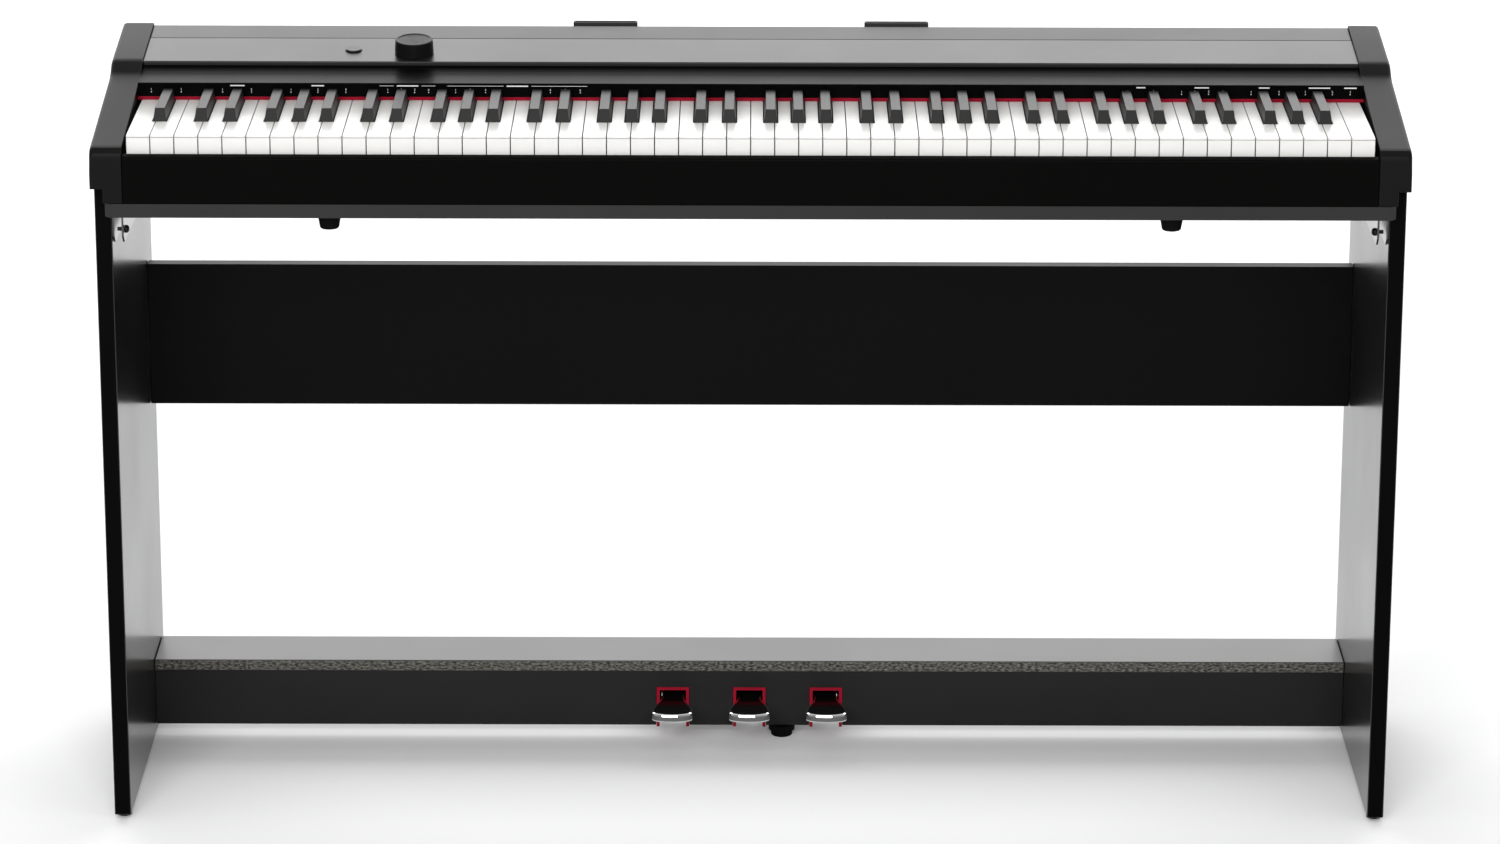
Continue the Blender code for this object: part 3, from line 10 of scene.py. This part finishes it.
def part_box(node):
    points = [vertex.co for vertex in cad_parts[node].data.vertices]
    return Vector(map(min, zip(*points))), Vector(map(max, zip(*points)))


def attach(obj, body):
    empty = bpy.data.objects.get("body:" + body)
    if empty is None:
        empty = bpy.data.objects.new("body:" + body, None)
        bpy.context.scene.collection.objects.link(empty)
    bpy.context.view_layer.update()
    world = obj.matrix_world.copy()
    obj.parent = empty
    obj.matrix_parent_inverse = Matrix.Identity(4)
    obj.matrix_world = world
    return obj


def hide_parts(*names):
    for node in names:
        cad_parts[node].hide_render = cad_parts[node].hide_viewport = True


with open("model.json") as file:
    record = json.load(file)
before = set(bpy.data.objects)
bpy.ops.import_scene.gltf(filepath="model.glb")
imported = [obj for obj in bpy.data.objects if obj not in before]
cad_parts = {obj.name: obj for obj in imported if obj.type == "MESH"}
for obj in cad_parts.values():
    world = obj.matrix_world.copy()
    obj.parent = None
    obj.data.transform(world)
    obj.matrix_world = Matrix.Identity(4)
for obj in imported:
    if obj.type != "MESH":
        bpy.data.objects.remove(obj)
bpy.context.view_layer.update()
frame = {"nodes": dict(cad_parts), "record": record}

NODES = frame["nodes"]
RECORD = frame["record"]
BODY_OF = {node: body for body, nodes in RECORD["behaviour"]["bodies"].items() for node in nodes}

# Camera: 35 mm style sensor, metres, degrees
LENS = 130.8
SENSOR = 36.0
CAMERA_PLACE = (0.0, -5.3454, 2.0001)
PITCH = 16.902
ROLL = 0.14

# Light
WORLD_BACK = 0.6
WORLD_FRONT = 0.25
WORLD_DIM_Y = -0.6
WORLD_BRIGHT_Y = 0.5
OVERHEAD_POWER = 40.0
BACK_POWER = 270.0
FRONT_POWER = 235.0


# Materials

def new_material(name):
    made = bpy.data.materials.new(name)
    made.use_nodes = True
    return made, made.node_tree.nodes, made.node_tree.links, made.node_tree.nodes["Principled BSDF"]


def add_noise(nodes, links, scale, detail=3.0, stretch=(1.0, 1.0, 1.0)):
    """Noise in the piece's own metres, stretched along an axis for brushed or rolled surfaces."""
    coords = nodes.new("ShaderNodeTexCoord")
    mapping = nodes.new("ShaderNodeMapping")
    mapping.inputs["Scale"].default_value = stretch
    noise = nodes.new("ShaderNodeTexNoise")
    noise.inputs["Scale"].default_value = scale
    noise.inputs["Detail"].default_value = detail
    links.new(coords.outputs["Object"], mapping.inputs["Vector"])
    links.new(mapping.outputs["Vector"], noise.inputs["Vector"])
    return noise


def add_bump(nodes, links, shader, height, strength, distance):
    bump = nodes.new("ShaderNodeBump")
    bump.inputs["Strength"].default_value = strength
    bump.inputs["Distance"].default_value = distance
    links.new(height, bump.inputs["Height"])
    links.new(bump.outputs["Normal"], shader.inputs["Normal"])


def add_variation(nodes, links, shader, noise, colour, amount):
    """Colour that drifts by a share of its own value."""
    ramp = nodes.new("ShaderNodeValToRGB")
    ramp.color_ramp.elements[0].position = 0.3
    ramp.color_ramp.elements[1].position = 0.7
    ramp.color_ramp.elements[0].color = (*[c * (1 - amount) for c in colour], 1)
    ramp.color_ramp.elements[1].color = (*[min(1.0, c * (1 + amount)) for c in colour], 1)
    links.new(noise.outputs["Fac"], ramp.inputs["Fac"])
    links.new(ramp.outputs["Color"], shader.inputs["Base Color"])


def add_roughness_drift(nodes, links, shader, noise, low, high):
    spread = nodes.new("ShaderNodeMapRange")
    spread.inputs["To Min"].default_value = low
    spread.inputs["To Max"].default_value = high
    links.new(noise.outputs["Fac"], spread.inputs["Value"])
    links.new(spread.outputs["Result"], shader.inputs["Roughness"])


def moulded(name, colour, roughness, grain=1400.0, depth=0.00002, specular=0.5, variation=0.12, coat=0.0):
    """Moulded plastic: fine spark-eroded grain, faint cloudiness in colour and gloss."""
    made, nodes, links, shader = new_material(name)
    cloud = add_noise(nodes, links, 9.0, 4.0)
    add_variation(nodes, links, shader, cloud, colour, variation)
    add_roughness_drift(nodes, links, shader, cloud, roughness - 0.04, roughness + 0.04)
    fine = add_noise(nodes, links, grain, 2.0)
    add_bump(nodes, links, shader, fine.outputs["Fac"], 0.35, depth)
    shader.inputs["Specular IOR Level"].default_value = specular
    shader.inputs["Coat Weight"].default_value = coat
    shader.inputs["Coat Roughness"].default_value = 0.12
    return made


def laminate(name, colour, roughness, specular):
    """Printed foil on board: a faint pore pattern that runs along the board."""
    made, nodes, links, shader = new_material(name)
    cloud = add_noise(nodes, links, 6.0, 4.0)
    add_variation(nodes, links, shader, cloud, colour, 0.15)
    add_roughness_drift(nodes, links, shader, cloud, roughness - 0.05, roughness + 0.05)
    pores = add_noise(nodes, links, 700.0, 2.0, (0.25, 0.25, 1.0))
    add_bump(nodes, links, shader, pores.outputs["Fac"], 0.3, 0.00003)
    shader.inputs["Specular IOR Level"].default_value = specular
    return made


def chip_edge(name):
    """Bare-looking board edge: speckled chips under a thin dark stain."""
    made, nodes, links, shader = new_material(name)
    chips = add_noise(nodes, links, 420.0, 6.0, (0.6, 1.0, 1.3))
    ramp = nodes.new("ShaderNodeValToRGB")
    ramp.color_ramp.elements[0].position = 0.40
    ramp.color_ramp.elements[0].color = (0.020, 0.019, 0.017, 1)
    ramp.color_ramp.elements[1].position = 0.66
    ramp.color_ramp.elements[1].color = (0.17, 0.165, 0.145, 1)
    links.new(chips.outputs["Fac"], ramp.inputs["Fac"])
    links.new(ramp.outputs["Color"], shader.inputs["Base Color"])
    add_bump(nodes, links, shader, chips.outputs["Fac"], 0.5, 0.0001)
    shader.inputs["Roughness"].default_value = 0.8
    shader.inputs["Specular IOR Level"].default_value = 0.2
    return made


def felt(name, colour):
    made, nodes, links, shader = new_material(name)
    fuzz = add_noise(nodes, links, 1800.0, 4.0, (1.0, 1.0, 0.5))
    add_variation(nodes, links, shader, fuzz, colour, 0.3)
    add_bump(nodes, links, shader, fuzz.outputs["Fac"], 0.8, 0.0002)
    shader.inputs["Roughness"].default_value = 0.95
    shader.inputs["Specular IOR Level"].default_value = 0.15
    shader.inputs["Sheen Weight"].default_value = 0.12
    shader.inputs["Sheen Tint"].default_value = (1.0, 0.35, 0.4, 1)
    return made


def metal(name, colour, roughness, stretch, scale=900.0, depth=0.00001):
    """Plated or drawn metal with marks along one direction."""
    made, nodes, links, shader = new_material(name)
    marks = add_noise(nodes, links, scale, 3.0, stretch)
    add_roughness_drift(nodes, links, shader, marks, roughness * 0.7, roughness * 1.3)
    add_bump(nodes, links, shader, marks.outputs["Fac"], 0.15, depth)
    shader.inputs["Base Color"].default_value = (*colour, 1)
    shader.inputs["Metallic"].default_value = 1.0
    return made


def spun(name, colour, centre, ring_pitch):
    """Concentric turning marks round an axis that runs close to upright."""
    made, nodes, links, shader = new_material(name)
    coords = nodes.new("ShaderNodeTexCoord")
    offset = nodes.new("ShaderNodeVectorMath")
    offset.operation = "SUBTRACT"
    offset.inputs[1].default_value = centre
    flatten = nodes.new("ShaderNodeVectorMath")
    flatten.operation = "MULTIPLY"
    flatten.inputs[1].default_value = (1.0, 1.0, 0.0)
    length = nodes.new("ShaderNodeVectorMath")
    length.operation = "LENGTH"
    turns = nodes.new("ShaderNodeMath")
    turns.operation = "MULTIPLY"
    turns.inputs[1].default_value = 2 * math.pi / ring_pitch
    wave = nodes.new("ShaderNodeMath")
    wave.operation = "SINE"
    links.new(coords.outputs["Object"], offset.inputs[0])
    links.new(offset.outputs[0], flatten.inputs[0])
    links.new(flatten.outputs[0], length.inputs[0])
    links.new(length.outputs["Value"], turns.inputs[0])
    links.new(turns.outputs[0], wave.inputs[0])
    add_bump(nodes, links, shader, wave.outputs[0], 0.5, 0.00004)
    shader.inputs["Base Color"].default_value = (*colour, 1)
    shader.inputs["Roughness"].default_value = 0.3
    shader.inputs["Specular IOR Level"].default_value = 0.05
    return made


def circuit(name):
    """Green solder mask with a faint pattern of tracks."""
    made, nodes, links, shader = new_material(name)
    coords = nodes.new("ShaderNodeTexCoord")
    brick = nodes.new("ShaderNodeTexBrick")
    brick.inputs["Scale"].default_value = 60.0
    brick.inputs["Color1"].default_value = (0.015, 0.13, 0.055, 1)
    brick.inputs["Color2"].default_value = (0.02, 0.17, 0.075, 1)
    brick.inputs["Mortar"].default_value = (0.03, 0.24, 0.11, 1)
    brick.inputs["Mortar Size"].default_value = 0.03
    links.new(coords.outputs["Object"], brick.inputs["Vector"])
    links.new(brick.outputs["Color"], shader.inputs["Base Color"])
    shader.inputs["Roughness"].default_value = 0.4
    return made


knob_low, knob_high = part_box("volume_knob")
KNOB_CENTRE = tuple((knob_low + knob_high) / 2)

MATERIALS = {
    "shell": moulded("shell", (0.010, 0.010, 0.0103), 0.42, specular=0.36),
    "cheek": moulded("cheek", (0.0044, 0.0042, 0.0042), 0.42, specular=0.07),
    "case": moulded("case", (0.0125, 0.0122, 0.0119), 0.5, specular=0.25),
    "panel": moulded("panel", (0.0075, 0.0074, 0.0074), 0.36, specular=0.36),
    "slip": moulded("slip", (0.0016, 0.0015, 0.0014), 0.30, specular=0.02, variation=0.05),
    "fascia": moulded("fascia", (0.001, 0.001, 0.001), 0.36, specular=0.022, variation=0.05),
    "white_key": moulded("white_key", (0.71, 0.705, 0.685), 0.24, 900.0, 0.000006, 0.2, 0.012),
    # Dark grey painted shade for the line under a white key's top plate, where the plate's overhang throws its
    # shadow
    "key_seam_painted_shade": moulded("key_seam_painted_shade", (0.10, 0.097, 0.09), 0.5, 900.0, 0.000006, 0.1, 0.05),
    "black_key": moulded("black_key", (0.022, 0.0212, 0.0212), 0.42, 1100.0, 0.00002, 0.15, 0.08),
    "felt": felt("felt", (0.27, 0.004, 0.018)),
    "knob": spun("knob", (0.007, 0.007, 0.007), KNOB_CENTRE, 0.0005),
    "button": moulded("button", (0.008, 0.008, 0.008), 0.35, specular=0.25),
    "board_face": laminate("board_face", (0.0060, 0.0058, 0.0057), 0.22, 0.5),
    "board_front": laminate("board_front", (0.0008, 0.0008, 0.0008), 0.5, 0.03),
    "front_board": laminate("front_board", (0.0075, 0.0074, 0.0073), 0.5, 0.2),
    "modesty": laminate("modesty", (0.0015, 0.0014, 0.0014), 0.4, 0.06),
    "shelf": laminate("shelf", (0.035, 0.0345, 0.034), 0.34, 0.45),
    "chip_edge": chip_edge("chip_edge"),
    # Pedal chrome darkened for the sides and nose, a painted dark reflection; the rims keep bright chrome
    "pedal": metal("pedal", (0.16, 0.16, 0.163), 0.10, (1.0, 0.15, 1.0)),
    "pedal_rim": metal("pedal_rim", (0.90, 0.90, 0.91), 0.06, (1.0, 0.15, 1.0)),
    # Near-black gloss on the pedal tops, a painted reflection of the dark shelf above them
    "pedal_top_painted_reflection": moulded("pedal_top_painted_reflection", (0.003, 0.003, 0.003), 0.14, 900.0, 0.000004, 0.08, 0.2),
    "steel": metal("steel", (0.30, 0.30, 0.31), 0.32, (1.0, 0.1, 1.0)),
    "rubber": moulded("rubber", (0.0025, 0.0025, 0.0025), 0.75, 600.0, 0.0001, 0.05),
    "circuit": circuit("circuit"),
    "chassis": metal("chassis", (0.03, 0.03, 0.03), 0.6, (0.05, 1.0, 1.0)),
    "speaker": moulded("speaker", (0.03, 0.03, 0.03), 0.6),
    "print": moulded("print", (0.75, 0.75, 0.74), 0.5, variation=0.03),
    "bracket": moulded("bracket", (0.006, 0.006, 0.006), 0.16, 500.0, 0.00001, 0.75),
    "housing": moulded("housing", (0.008, 0.008, 0.008), 0.5, 500.0, 0.00004, 0.1),
    "screw": metal("screw", (0.012, 0.012, 0.012), 0.4, (1.0, 1.0, 1.0)),
    "contact": metal("contact", (0.75, 0.6, 0.35), 0.25, (1.0, 1.0, 1.0)),
}


# Pieces made from the CAD nodes

# Band of painted shade in the seam below the top plate of a white key: its top and bottom, down from the key's
# top, and how far back it is looked for
SHADE_LINE_TOP = 0.0019
SHADE_LINE_BOTTOM = 0.0024
SHADE_LINE_DEPTH = 0.0016


def clean_form(node):
    """The node's solid as a bmesh with flat faces in one piece, ready for a bevel."""
    form = bmesh.new()
    form.from_mesh(NODES[node].data)
    bmesh.ops.remove_doubles(form, verts=form.verts, dist=0.000002)
    bmesh.ops.dissolve_limit(form, angle_limit=math.radians(0.6), verts=form.verts, edges=form.edges)
    return form


def adopt(piece, node, material):
    """Make a piece stand for a node: body, slot, finish."""
    piece.data.materials.clear()
    piece.data.materials.append(MATERIALS[material])
    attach(piece, BODY_OF[node])
    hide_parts(node)
    return piece


def soften(node, material, width, segments=2, angle=28.0, shape=None):
    """A copy of a node with its edges rounded as the real moulding has them."""
    form = clean_form(node)
    if shape:
        shape(form)
    mesh = bpy.data.meshes.new("soft_" + node)
    form.to_mesh(mesh)
    form.free()
    piece = bpy.data.objects.new("soft_" + node, mesh)
    bpy.context.scene.collection.objects.link(piece)
    bevel = piece.modifiers.new("edges", "BEVEL")
    bevel.width = width
    bevel.segments = segments
    bevel.limit_method = "ANGLE"
    bevel.angle_limit = math.radians(angle)
    bevel.use_clamp_overlap = True
    bevel.miter_outer = "MITER_ARC"
    weighted = piece.modifiers.new("normals", "WEIGHTED_NORMAL")
    weighted.mode = "FACE_AREA"
    weighted.weight = 100
    mesh.shade_smooth()
    return adopt(piece, node, material)


def keep(node, material):
    """Leave a node's own solid and give it its finish."""
    data = NODES[node].data
    data.materials.clear()
    data.materials.append(MATERIALS[material])
    data.shade_smooth()
    data.set_sharp_from_angle(angle=math.radians(32))


SOFT = {
    "bottom_case": ("case", 0.0006), "key_slip": ("slip", 0.0008), "label_fascia": ("fascia", 0.0006),
    "control_panel": ("panel", 0.0005), "rear_cover": ("shell", 0.0006), "jack_panel": ("panel", 0.0003),
    "music_rest_holder_left": ("shell", 0.0005), "music_rest_holder_right": ("shell", 0.0005),
    "modesty_panel": ("modesty", 0.0004), "pedal_front_board": ("front_board", 0.0005),
    "cheek_left": ("cheek", 0.0007), "cheek_right": ("cheek", 0.0007),
    "bracket_left": ("bracket", 0.0003), "bracket_right": ("bracket", 0.0003),
    "pedal_base": ("housing", 0.0003), "key_chassis": ("chassis", 0.0004),
}

KEPT = {
    "felt_strip": "felt", "pedal_felt_left": "felt", "pedal_felt_centre": "felt", "pedal_felt_right": "felt",
    "main_board": "circuit", "contact_board": "circuit", "power_button": "button", "volume_knob": "knob",
    "speaker_left": "speaker", "speaker_right": "speaker", "pedal_rod": "steel", "adjuster_foot": "rubber",
    "pedal_left": "pedal", "pedal_centre": "pedal", "pedal_right": "pedal",
    "thumb_screw_left": "screw", "thumb_screw_right": "screw",
    "slab_foot_front_left": "rubber", "slab_foot_front_right": "rubber",
    "slab_foot_rear_left": "rubber", "slab_foot_rear_right": "rubber",
}


def second_finish(piece, material, chosen):
    """Another finish on the faces that a test picks."""
    piece.data.materials.append(MATERIALS[material])
    index = len(piece.data.materials) - 1
    for face in piece.data.polygons:
        if chosen(face):
            face.material_index = index


def towards_player(face):
    return face.normal.y < -0.9


def seam_white_key(form):
    """Split the front of a white key below its top plate, so that the seam can take a band of painted shade.
    """
    top = max(vert.co.z for vert in form.verts)
    everything = list(form.verts) + list(form.edges) + list(form.faces)
    bmesh.ops.bisect_plane(form, geom=everything, dist=0.000001, plane_co=(0, 0, top - SHADE_LINE_BOTTOM),
                           plane_no=(0, 0, 1))


def dress_white_key(node):
    piece = soften(node, "white_key", 0.0004, 3, shape=seam_white_key)
    front = min(vert.co.y for vert in piece.data.vertices)
    top = max(vert.co.z for vert in piece.data.vertices)
    # The dark band under the top plate is painted shade standing in for the overhang's shadow
    second_finish(piece, "key_seam_painted_shade", lambda face: (face.center.y < front + SHADE_LINE_DEPTH
                                                   and top - SHADE_LINE_BOTTOM < face.center.z < top - SHADE_LINE_TOP))


# Faces of a pedal by the upward part of their normal: the one chrome is split into a near-black top as painted
# reflection, sides and nose darkened as painted reflection, and rims in bright chrome
SIDE_BELOW = 0.2
TOP_FROM = 0.95


def dress_nodes():
    for node, (material, width) in SOFT.items():
        soften(node, material, width)
    for node, material in KEPT.items():
        keep(node, material)
    for node in NODES:
        if node.startswith("white_key"):
            dress_white_key(node)
        elif node.startswith("black_key"):
            soften(node, "black_key", 0.0011, 3)
    second_finish(soften("pedal_shelf", "shelf", 0.0004), "chip_edge", towards_player)
    for pedal in ("pedal_left", "pedal_centre", "pedal_right"):
        # Paint the pedals' reflections by face direction: bright rims, and near-black tops as painted
        # reflection of the dark shelf
        second_finish(NODES[pedal], "pedal_rim", lambda face: SIDE_BELOW < abs(face.normal.z) < TOP_FROM)
        second_finish(NODES[pedal], "pedal_top_painted_reflection", lambda face: face.normal.z >= TOP_FROM)
    for side in ("side_panel_left", "side_panel_right"):
        second_finish(soften(side, "board_face", 0.0004), "board_front", towards_player)


# Printed marks: thin raised ink on the label strip and beside the controls

MARK_HEIGHT = 0.00005
MARK_LINE = 0.0004
NUMBER_SIZE = 0.0030

# Heights of the marks over the label strip's lower edge, and sizes of the bars
HEADING_RISE = 0.0112
NUMBER_RISE = 0.0062
DOT_RISE = 0.0046
HEADING_BAR = 0.012
HEADING_HALF_HEIGHT = 0.0006
BRACKET_FROM = 0.02
BRACKET_GAP = 0.014
DOT_HALF_LENGTH = 0.0004
DOT_HALF_HEIGHT = 0.0005

# Centre along X, half length of the heading's bracket, and offsets of the plain numbers under it
MARK_GROUPS = (
    (-0.601, 0.0, (0.0,)),
    (-0.571, 0.0, (0.0,)),
    (-0.5146, 0.008, (-0.015, 0.014)),
    (-0.434, 0.007, (-0.027, 0.0, 0.028)),
    (-0.344, 0.028, (-0.020, -0.006, 0.007, 0.021)),
    (-0.234, 0.070, (-0.062, -0.047, -0.032, 0.033, 0.048, 0.063)),
    (0.391, 0.005, (-0.013, 0.013)),
    (0.452, 0.008, (-0.020, -0.007, 0.007, 0.021)),
    (0.5146, 0.006, (-0.013, 0.015)),
    (0.570, 0.012, (-0.014, 0.013)),
    (0.601, 0.007, (0.0,)),
)


def ink_bar(form, x, z, half_length, half_height, y):
    """One raised bar on a face that looks towards the player."""
    made = bmesh.ops.create_cube(form, size=1.0)["verts"]
    bmesh.ops.scale(form, vec=(2 * half_length, MARK_HEIGHT, 2 * half_height), verts=made)
    bmesh.ops.translate(form, vec=(x, y - MARK_HEIGHT / 2, z), verts=made)


def ink_number(form, number, x, z, y):
    """One plain number, drawn with Blender's own font, raised like the bars."""
    curve = bpy.data.curves.new("number", "FONT")
    curve.body = str(number)
    curve.size = NUMBER_SIZE
    curve.align_x = "CENTER"
    curve.extrude = MARK_HEIGHT / 2
    curve.resolution_u = 3
    drawn = bpy.data.objects.new("number", curve)
    bpy.context.scene.collection.objects.link(drawn)
    graph = bpy.context.evaluated_depsgraph_get()
    mesh = bpy.data.meshes.new_from_object(drawn.evaluated_get(graph))
    bpy.data.objects.remove(drawn, do_unlink=True)
    mesh.transform(Matrix.Translation((x, y - MARK_HEIGHT / 2, z)) @ Matrix.Rotation(math.pi / 2, 4, "X"))
    form.from_mesh(mesh)
    bpy.data.meshes.remove(mesh)


def mark_piece(name, form, rest_on):
    mesh = bpy.data.meshes.new(name)
    form.to_mesh(mesh)
    form.free()
    mesh.materials.append(MATERIALS["print"])
    piece = bpy.data.objects.new(name, mesh)
    bpy.context.scene.collection.objects.link(piece)
    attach(piece, rest_on)
    return piece


def label_marks():
    low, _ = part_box("label_fascia")
    face_y = low.y
    form = bmesh.new()
    for centre, half, offsets in MARK_GROUPS:
        head_z = low.z + HEADING_RISE
        word = min(half, HEADING_BAR)
        if word:
            ink_bar(form, centre, head_z, word * 0.9, HEADING_HALF_HEIGHT, face_y)
        if half > BRACKET_FROM:
            for side in (-1, 1):
                bar_x = centre + side * (half + BRACKET_GAP) / 2
                ink_bar(form, bar_x, head_z, (half - BRACKET_GAP) / 2, MARK_LINE / 2, face_y)
        for number, offset in enumerate(offsets, 1):
            ink_number(form, number, centre + offset, low.z + NUMBER_RISE, face_y)
            ink_bar(form, centre + offset, low.z + DOT_RISE, DOT_HALF_LENGTH, DOT_HALF_HEIGHT, face_y)
    return mark_piece("label_marks", form, "body")


# Sleeves in the five round sockets of the rear plate
SOCKETS = 5
SOCKET_PITCH = 0.024
SLEEVE_BORE = 0.0030
SLEEVE_RADIUS = 0.0034
SLEEVE_LENGTH = 0.0030
SLEEVE_SINK = 0.0012
SLEEVE_DROP = 0.001
SLEEVE_SIDES = 28


def socket_sleeves():
    """Metal contact sleeves inside the round sockets at the back."""
    low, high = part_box("jack_panel")
    middle_z = (low.z + high.z) / 2 - SLEEVE_DROP
    back = high.y - SLEEVE_SINK
    front = back - SLEEVE_LENGTH
    centre = (low.x + high.x) / 2
    for number in range(SOCKETS):
        form = bmesh.new()
        x = centre + (number - SOCKETS // 2) * SOCKET_PITCH
        rings = []
        profile = ((SLEEVE_BORE, front), (SLEEVE_RADIUS, front), (SLEEVE_RADIUS, back), (SLEEVE_BORE, back))
        for radius, y in profile:
            circle = []
            for i in range(SLEEVE_SIDES):
                angle = math.tau * i / SLEEVE_SIDES
                circle.append(form.verts.new((x + radius * math.cos(angle), y,
                                              middle_z + radius * math.sin(angle))))
            rings.append(circle)
        for a, b in zip(rings, rings[1:] + rings[:1]):
            for i in range(SLEEVE_SIDES):
                j = (i + 1) % SLEEVE_SIDES
                form.faces.new((a[i], a[j], b[j], b[i]))
        bmesh.ops.recalc_face_normals(form, faces=form.faces)
        piece = mark_piece("socket_sleeve_%d" % number, form, "body")
        piece.data.materials.clear()
        piece.data.materials.append(MATERIALS["contact"])
        piece.data.shade_smooth()


# Stage, light and camera

FLOOR_HALF = 14.0


def stage():
    mesh = bpy.data.meshes.new("floor")
    form = bmesh.new()
    bmesh.ops.create_grid(form, x_segments=1, y_segments=1, size=FLOOR_HALF)
    form.to_mesh(mesh)
    form.free()
    floor = bpy.data.objects.new("floor", mesh)
    bpy.context.scene.collection.objects.link(floor)
    made, _, _, shader = new_material("floor_paint")
    shader.inputs["Base Color"].default_value = (0.94, 0.94, 0.945, 1)
    shader.inputs["Roughness"].default_value = 0.9
    shader.inputs["Specular IOR Level"].default_value = 0.1
    mesh.materials.append(made)


def area_light(name, place, target, size, power):
    data = bpy.data.lights.new(name, "AREA")
    data.shape = "RECTANGLE"
    data.size, data.size_y = size
    data.energy = power
    lamp = bpy.data.objects.new(name, data)
    bpy.context.scene.collection.objects.link(lamp)
    lamp.location = place
    lamp.rotation_euler = (Vector(target) - Vector(place)).to_track_quat("-Z", "Y").to_euler()
    lamp.visible_camera = False
    return lamp


def lights():
    """Bright from behind and above, dim from behind the camera, as the dark fronts ask for."""
    world = bpy.data.worlds.new("studio")
    bpy.context.scene.world = world
    world.use_nodes = True
    nodes = world.node_tree.nodes
    links = world.node_tree.links
    coords = nodes.new("ShaderNodeTexCoord")
    split = nodes.new("ShaderNodeSeparateXYZ")
    spread = nodes.new("ShaderNodeMapRange")
    spread.inputs["From Min"].default_value = WORLD_DIM_Y
    spread.inputs["From Max"].default_value = WORLD_BRIGHT_Y
    spread.inputs["To Min"].default_value = WORLD_FRONT
    spread.inputs["To Max"].default_value = WORLD_BACK
    links.new(coords.outputs["Generated"], split.inputs[0])
    links.new(split.outputs["Y"], spread.inputs["Value"])
    links.new(spread.outputs["Result"], nodes["Background"].inputs["Strength"])
    nodes["Background"].inputs["Color"].default_value = (1.0, 1.0, 1.0, 1)
    area_light("overhead", (0.0, -0.4, 4.2), (0.0, 0.0, 0.5), (5.0, 3.0), OVERHEAD_POWER)
    area_light("back_wall", (0.0, 4.5, 2.9), (0.0, 0.0, 0.6), (9.0, 3.4), BACK_POWER)
    area_light("front", (-0.6, -5.0, 2.6), (0.0, 0.0, 0.5), (4.0, 2.0), FRONT_POWER)


def camera():
    data = bpy.data.cameras.new("camera")
    data.lens = LENS
    data.sensor_width = SENSOR
    data.sensor_fit = "HORIZONTAL"
    data.clip_end = 100.0
    made = bpy.data.objects.new("camera", data)
    bpy.context.scene.collection.objects.link(made)
    tilt = Matrix.Rotation(math.radians(90.0 - PITCH), 4, "X")
    roll = Matrix.Rotation(math.radians(ROLL), 4, "Z")
    made.matrix_world = Matrix.Translation(CAMERA_PLACE) @ tilt @ roll
    bpy.context.scene.camera = made


bpy.context.scene.view_settings.view_transform = "Standard"
camera()
dress_nodes()
label_marks()
socket_sleeves()
stage()
lights()
